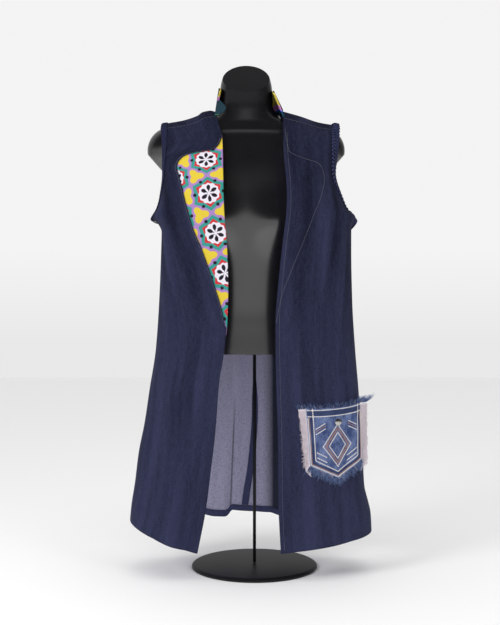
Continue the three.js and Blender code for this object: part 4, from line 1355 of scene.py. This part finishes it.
white_lines = [pocket_line(border(2.6)), pocket_line(border(13)), hem_line(3.5, 60), hem_line(16, 60),
               pocket_line([(-HEM_ROWS, 8), (-HEM_ROWS, 30)]), pocket_line([(HEM_ROWS, 8), (HEM_ROWS, 30)]),
               pocket_line(diamond(32, 42)), pocket_line(diamond(19, 26))]
white_lines += bars((46, 50), (26, 40), (0, 10.5)) + bars((46, 106), (24, 118), (-10, 0))
tan_lines = [pocket_line(border(5)), pocket_line(diamond(27, 36)), pocket_line(diamond(24.5, 33))]
tan_lines += bars((46, 55), (26, 45), (0,))
stitches("stitch_pocket_white", white_lines, 3.8, 3.9, 1.15, THREAD_WHITE, "washed_denim")
stitches("stitch_pocket_tan", tan_lines, 3.8, 4.0, 0.8, THREAD_TAN, "washed_denim")

# Green thread along the collar corner's lower edge
green_spots = corner_point(np.linspace(0.1, 0.75, 12), np.linspace(0.97, 0.93, 12)) + np.array([0, -1.2, 0])
green_spots[:, 0] += GARMENT_SHIFT
stitches("stitch_collar_green", [green_spots], 2.6, 3.0, 0.5, THREAD_GREEN, "printed_cotton")


# Stud
def spun(name, profile, steps, place, turn, slot, paint, *replaced):
    """A solid turned about its own upright axis, then turned and moved into place."""
    bm = bmesh.new()
    verts = [bm.verts.new((r * MM, 0, z * MM)) for r, z in profile]
    edges = [bm.edges.new(pair) for pair in zip(verts, verts[1:])]
    bmesh.ops.spin(bm, geom=verts + edges, cent=(0, 0, 0), axis=(0, 0, 1), angle=2 * math.pi, steps=steps,
                   use_merge=True)
    bmesh.ops.remove_doubles(bm, verts=bm.verts, dist=1e-6)
    bmesh.ops.recalc_face_normals(bm, faces=bm.faces)
    bmesh.ops.transform(bm, matrix=turn, verts=bm.verts)
    bmesh.ops.translate(bm, vec=place, verts=bm.verts)
    mesh = bpy.data.meshes.new(name)
    bm.to_mesh(mesh)
    bm.free()
    smooth(mesh)
    obj = new_object(name, mesh, slot, *replaced)
    obj.data.materials.append(paint)
    return obj


STUD_A = np.array([2.0])
STUD_B = np.array([40.0])
stud_spot = pocket_at(STUD_A, STUD_B, ON_TOP + TRIM + 0.4)[0] * MM
stud_way = Vector(pocket_normal(STUD_A, STUD_B)[0])
stud_turn = Vector((0, 0, 1)).rotation_difference(stud_way).to_matrix()
spun("metal_stud", [(0, 0), (7, 0), (7.4, 0.5), (7.3, 1.0), (6.4, 1.3), (6.0, 1.8), (5.0, 2.6), (3.6, 3.2),
                    (1.8, 3.6), (0, 3.7)], 40, stud_spot, stud_turn, "stud_metal", STEEL, "pocket_stud")

# Form: rings of height, half width, depth to the front and to the back
FORM_ROWS = table([
    (448, 148, 84, 82), (500, 138, 79.5, 76), (545, 128, 77, 71), (620, 124, 78.5, 70), (690, 134, 83.5, 76),
    (735, 142, 86, 82), (785, 148, 82, 85), (830, 146, 76, 80), (870, 142, 65, 72), (902, 139, 52.6, 61),
    (909, 136, 52.4, 58), (917, 131, 48, 54), (928, 106, 44, 50), (940, 76, 43.5, 50), (952, 61, 43, 50),
    (968, 55.5, 41.5, 50), (1050, 54.5, 36, 52),
], ["half", "front", "back"])
FORM_LOW = 448
BUST = {"x": 68, "z": 712, "reach": 44, "height": 46, "depth": 23}
# The neck rounds off towards a dome, which a slanting cap cuts through a given point at a given tilt
DOME = {"z": 991, "rise": 79}
CAP = (0, -26.5, 1002)
CAP_TILT = 0.8
# Shoulder ends: half sizes and middle of the rounded end, a point on its slanting cut, and the cut's angle
SHOULDER_SIZE = (50, 39, 50)
SHOULDER_X = 157
SHOULDER_Z = 872
SHOULDER_CUT = (190, 846)
SHOULDER_SLANT = 2.3


def form_points(u, z):
    """Points on the form's body: u once round from the front, z the height."""
    angle = u * 2 * math.pi
    shrink = np.sqrt(np.maximum(1 - np.maximum(0, (z - DOME["z"]) / DOME["rise"]) ** 2, 1e-6))
    x = shrink * FORM_ROWS["half"](z) * np.sin(angle)
    front = np.cos(angle) > 0
    flat = shrink * np.where(front, FORM_ROWS["front"](z), FORM_ROWS["back"](z))
    across = np.exp(-(((np.abs(x) - BUST["x"]) / BUST["reach"]) ** 2))
    up = np.exp(-(((z - BUST["z"]) / BUST["height"]) ** 2))
    y = -flat * np.cos(angle) - BUST["depth"] * across * up * np.maximum(np.cos(angle), 0) ** 0.5
    return np.stack([x + FORM_SHIFT + GARMENT_SHIFT, y, z], -1)


def cut_off(bm, place, way):
    """Cuts a closed shape with a plane, takes away what lies past it and closes the cut."""
    cut = bmesh.ops.bisect_plane(bm, geom=bm.verts[:] + bm.edges[:] + bm.faces[:], plane_co=place,
                                 plane_no=way, clear_outer=True)
    rim = [edge for edge in cut["geom_cut"] if isinstance(edge, bmesh.types.BMEdge)]
    bmesh.ops.edgeloop_fill(bm, edges=rim)


def form_torso():
    """The moulded body with its cut neck and its two shoulder ends."""
    mesh, u, t = grid_mesh("form_shell", 160, 170)
    heights = spaced([FORM_LOW, 890, 960, DOME["z"] + DOME["rise"] - 0.1], [1, 2.2, 1.6])
    set_points(mesh, form_points(u, heights(t)) * MM)
    bm = bmesh.new()
    bm.from_mesh(mesh)
    bmesh.ops.remove_doubles(bm, verts=bm.verts, dist=2e-5)
    bmesh.ops.holes_fill(bm, edges=bm.edges, sides=0)
    cap_middle = ((CAP[0] + FORM_SHIFT + GARMENT_SHIFT) * MM, CAP[1] * MM, CAP[2] * MM)
    cut_off(bm, cap_middle, (0, -math.sin(CAP_TILT), math.cos(CAP_TILT)))
    for sign in (-1, 1):
        add_shoulder(bm, sign)
    bmesh.ops.recalc_face_normals(bm, faces=bm.faces)
    bm.to_mesh(mesh)
    bm.free()
    obj = new_object("form_shell", mesh, "form_shell", "form_torso")
    obj.data.materials.append(FORM)
    smooth(mesh)
    mesh.set_sharp_from_angle(angle=math.radians(35))


def add_shoulder(bm, sign):
    """A rounded shoulder end, cut off at a slant."""
    ball = bmesh.new()
    bmesh.ops.create_uvsphere(ball, u_segments=64, v_segments=40, radius=1)
    bmesh.ops.scale(ball, vec=[half * MM for half in SHOULDER_SIZE], verts=ball.verts)
    bmesh.ops.translate(ball, vec=(sign * SHOULDER_X * MM, 0, SHOULDER_Z * MM), verts=ball.verts)
    cut_off(ball, (sign * SHOULDER_CUT[0] * MM, 0, SHOULDER_CUT[1] * MM),
            (sign * math.sin(SHOULDER_SLANT), 0, math.cos(SHOULDER_SLANT)))
    bmesh.ops.translate(ball, vec=((FORM_SHIFT + GARMENT_SHIFT) * MM, 0, 0), verts=ball.verts)
    part = bpy.data.meshes.new("shoulder_end")
    ball.to_mesh(part)
    ball.free()
    bm.from_mesh(part)
    bpy.data.meshes.remove(part)


form_torso()
UNTURNED = Matrix.Identity(3)
ON_FLOOR = (0, 0, 0)
spun("stand_rod", [(0, 8.9), (2.8, 8.9), (3.3, 9.5), (3.3, 446.5), (2.8, 447.1), (0, 447.1)],
     32, ON_FLOOR, UNTURNED, "stand_metal", STAND, "form_rod")
spun("stand_base", [(0, 0), (129, 0), (131, 1.2), (131, 4.2), (130, 5.8), (127.5, 7.2), (123, 8), (12, 8),
                    (0, 8)], 128, ON_FLOOR, UNTURNED, "stand_metal", STAND, "form_base")

# Floor, lights and camera
floor_mesh = bpy.data.meshes.new("floor")
bm = bmesh.new()
bmesh.ops.create_grid(bm, x_segments=8, y_segments=8, size=6)
bm.to_mesh(floor_mesh)
bm.free()
floor = bpy.data.objects.new("floor", floor_mesh)
bpy.context.scene.collection.objects.link(floor)
floor_paint = Paint("pale_floor")
floor_paint.colour((0.93, 0.93, 0.93))
floor_paint.rough(0.7)
floor.data.materials.append(floor_paint.material)

# Brightness of the backdrop as the camera sees it, of the soft light from all round, and how much the
# backdrop darkens downwards
BACKDROP = 0.905
AMBIENT = 0.55
HORIZON = 0.09


def studio():
    """White backdrop and soft light; glossy surfaces see a bright low wall in front and a dim back wall."""
    world = bpy.data.worlds.new("studio")
    world.use_nodes = True
    tree = world.node_tree
    make = tree.nodes.new
    way = make("ShaderNodeSeparateXYZ")
    tree.links.new(make("ShaderNodeTexCoord").outputs["Generated"], way.inputs[0])
    x, y, z = (Value(tree, way.outputs[name]) for name in "XYZ")
    rays = make("ShaderNodeLightPath").outputs

    front = (y * -3.0 + 0.5).between(0.0, 1.0)
    low_wall = (z * -7.5 + 1.9).between(0.035, 0.9)
    back_wall = (z * -3.4 + 3.3).between(0.05, 0.5)
    seen = front * (low_wall - back_wall) + back_wall
    side_walls = (x.size() * 2.2 - 1.0).between(0.0, 1.0)
    beside = side_walls * ((x * 3.0).between(-1.0, 1.0) * 0.25 + 0.55)
    seen = seen - seen * beside
    horizon = (z * -11.0 + 0.66).between(0.0, 1.0) * HORIZON
    level = Value(tree, rays["Is Glossy Ray"]) * (seen - AMBIENT) + AMBIENT
    level = level + Value(tree, rays["Is Camera Ray"]) * (horizon * -1.0 + (BACKDROP - AMBIENT))
    background = tree.nodes["Background"]
    background.inputs["Color"].default_value = (1.0, 0.995, 0.995, 1)
    tree.links.new(level.socket, background.inputs["Strength"])
    return world


bpy.context.scene.world = studio()
bpy.context.scene.view_settings.view_transform = "Standard"


def place_lamp(name, data, place, aim):
    """Aims a lamp that glossy surfaces don't mirror."""
    obj = bpy.data.objects.new(name, data)
    obj.location = place
    obj.rotation_euler = (Vector(aim) - Vector(place)).to_track_quat("-Z", "Y").to_euler()
    obj.visible_glossy = False
    bpy.context.scene.collection.objects.link(obj)


def soft_box(name, place, aim, size, power):
    data = bpy.data.lights.new(name, "AREA")
    data.shape = "RECTANGLE"
    data.size, data.size_y = size
    data.energy = power
    place_lamp(name, data, place, aim)


soft_box("key", (-1.7, -1.6, 1.5), (0, 0, 0.6), (0.8, 0.8), 26)
soft_box("fill", (1.5, -1.8, 1.2), (0, 0, 0.6), (0.8, 0.8), 9)
overhead = bpy.data.lights.new("overhead", "SUN")
overhead.energy = 1.04
overhead.angle = math.radians(70)
place_lamp("overhead", overhead, (0, 0, 3), (0, 0.4, 0))

camera_data = bpy.data.cameras.new("camera")
camera_data.lens = 57.6
camera_data.sensor_width = 36
camera = bpy.data.objects.new("camera", camera_data)
camera.location = (-0.0094, -2.1, 0.533)
camera.rotation_euler = (math.pi / 2, 0, 0)
bpy.context.scene.collection.objects.link(camera)
bpy.context.scene.camera = camera
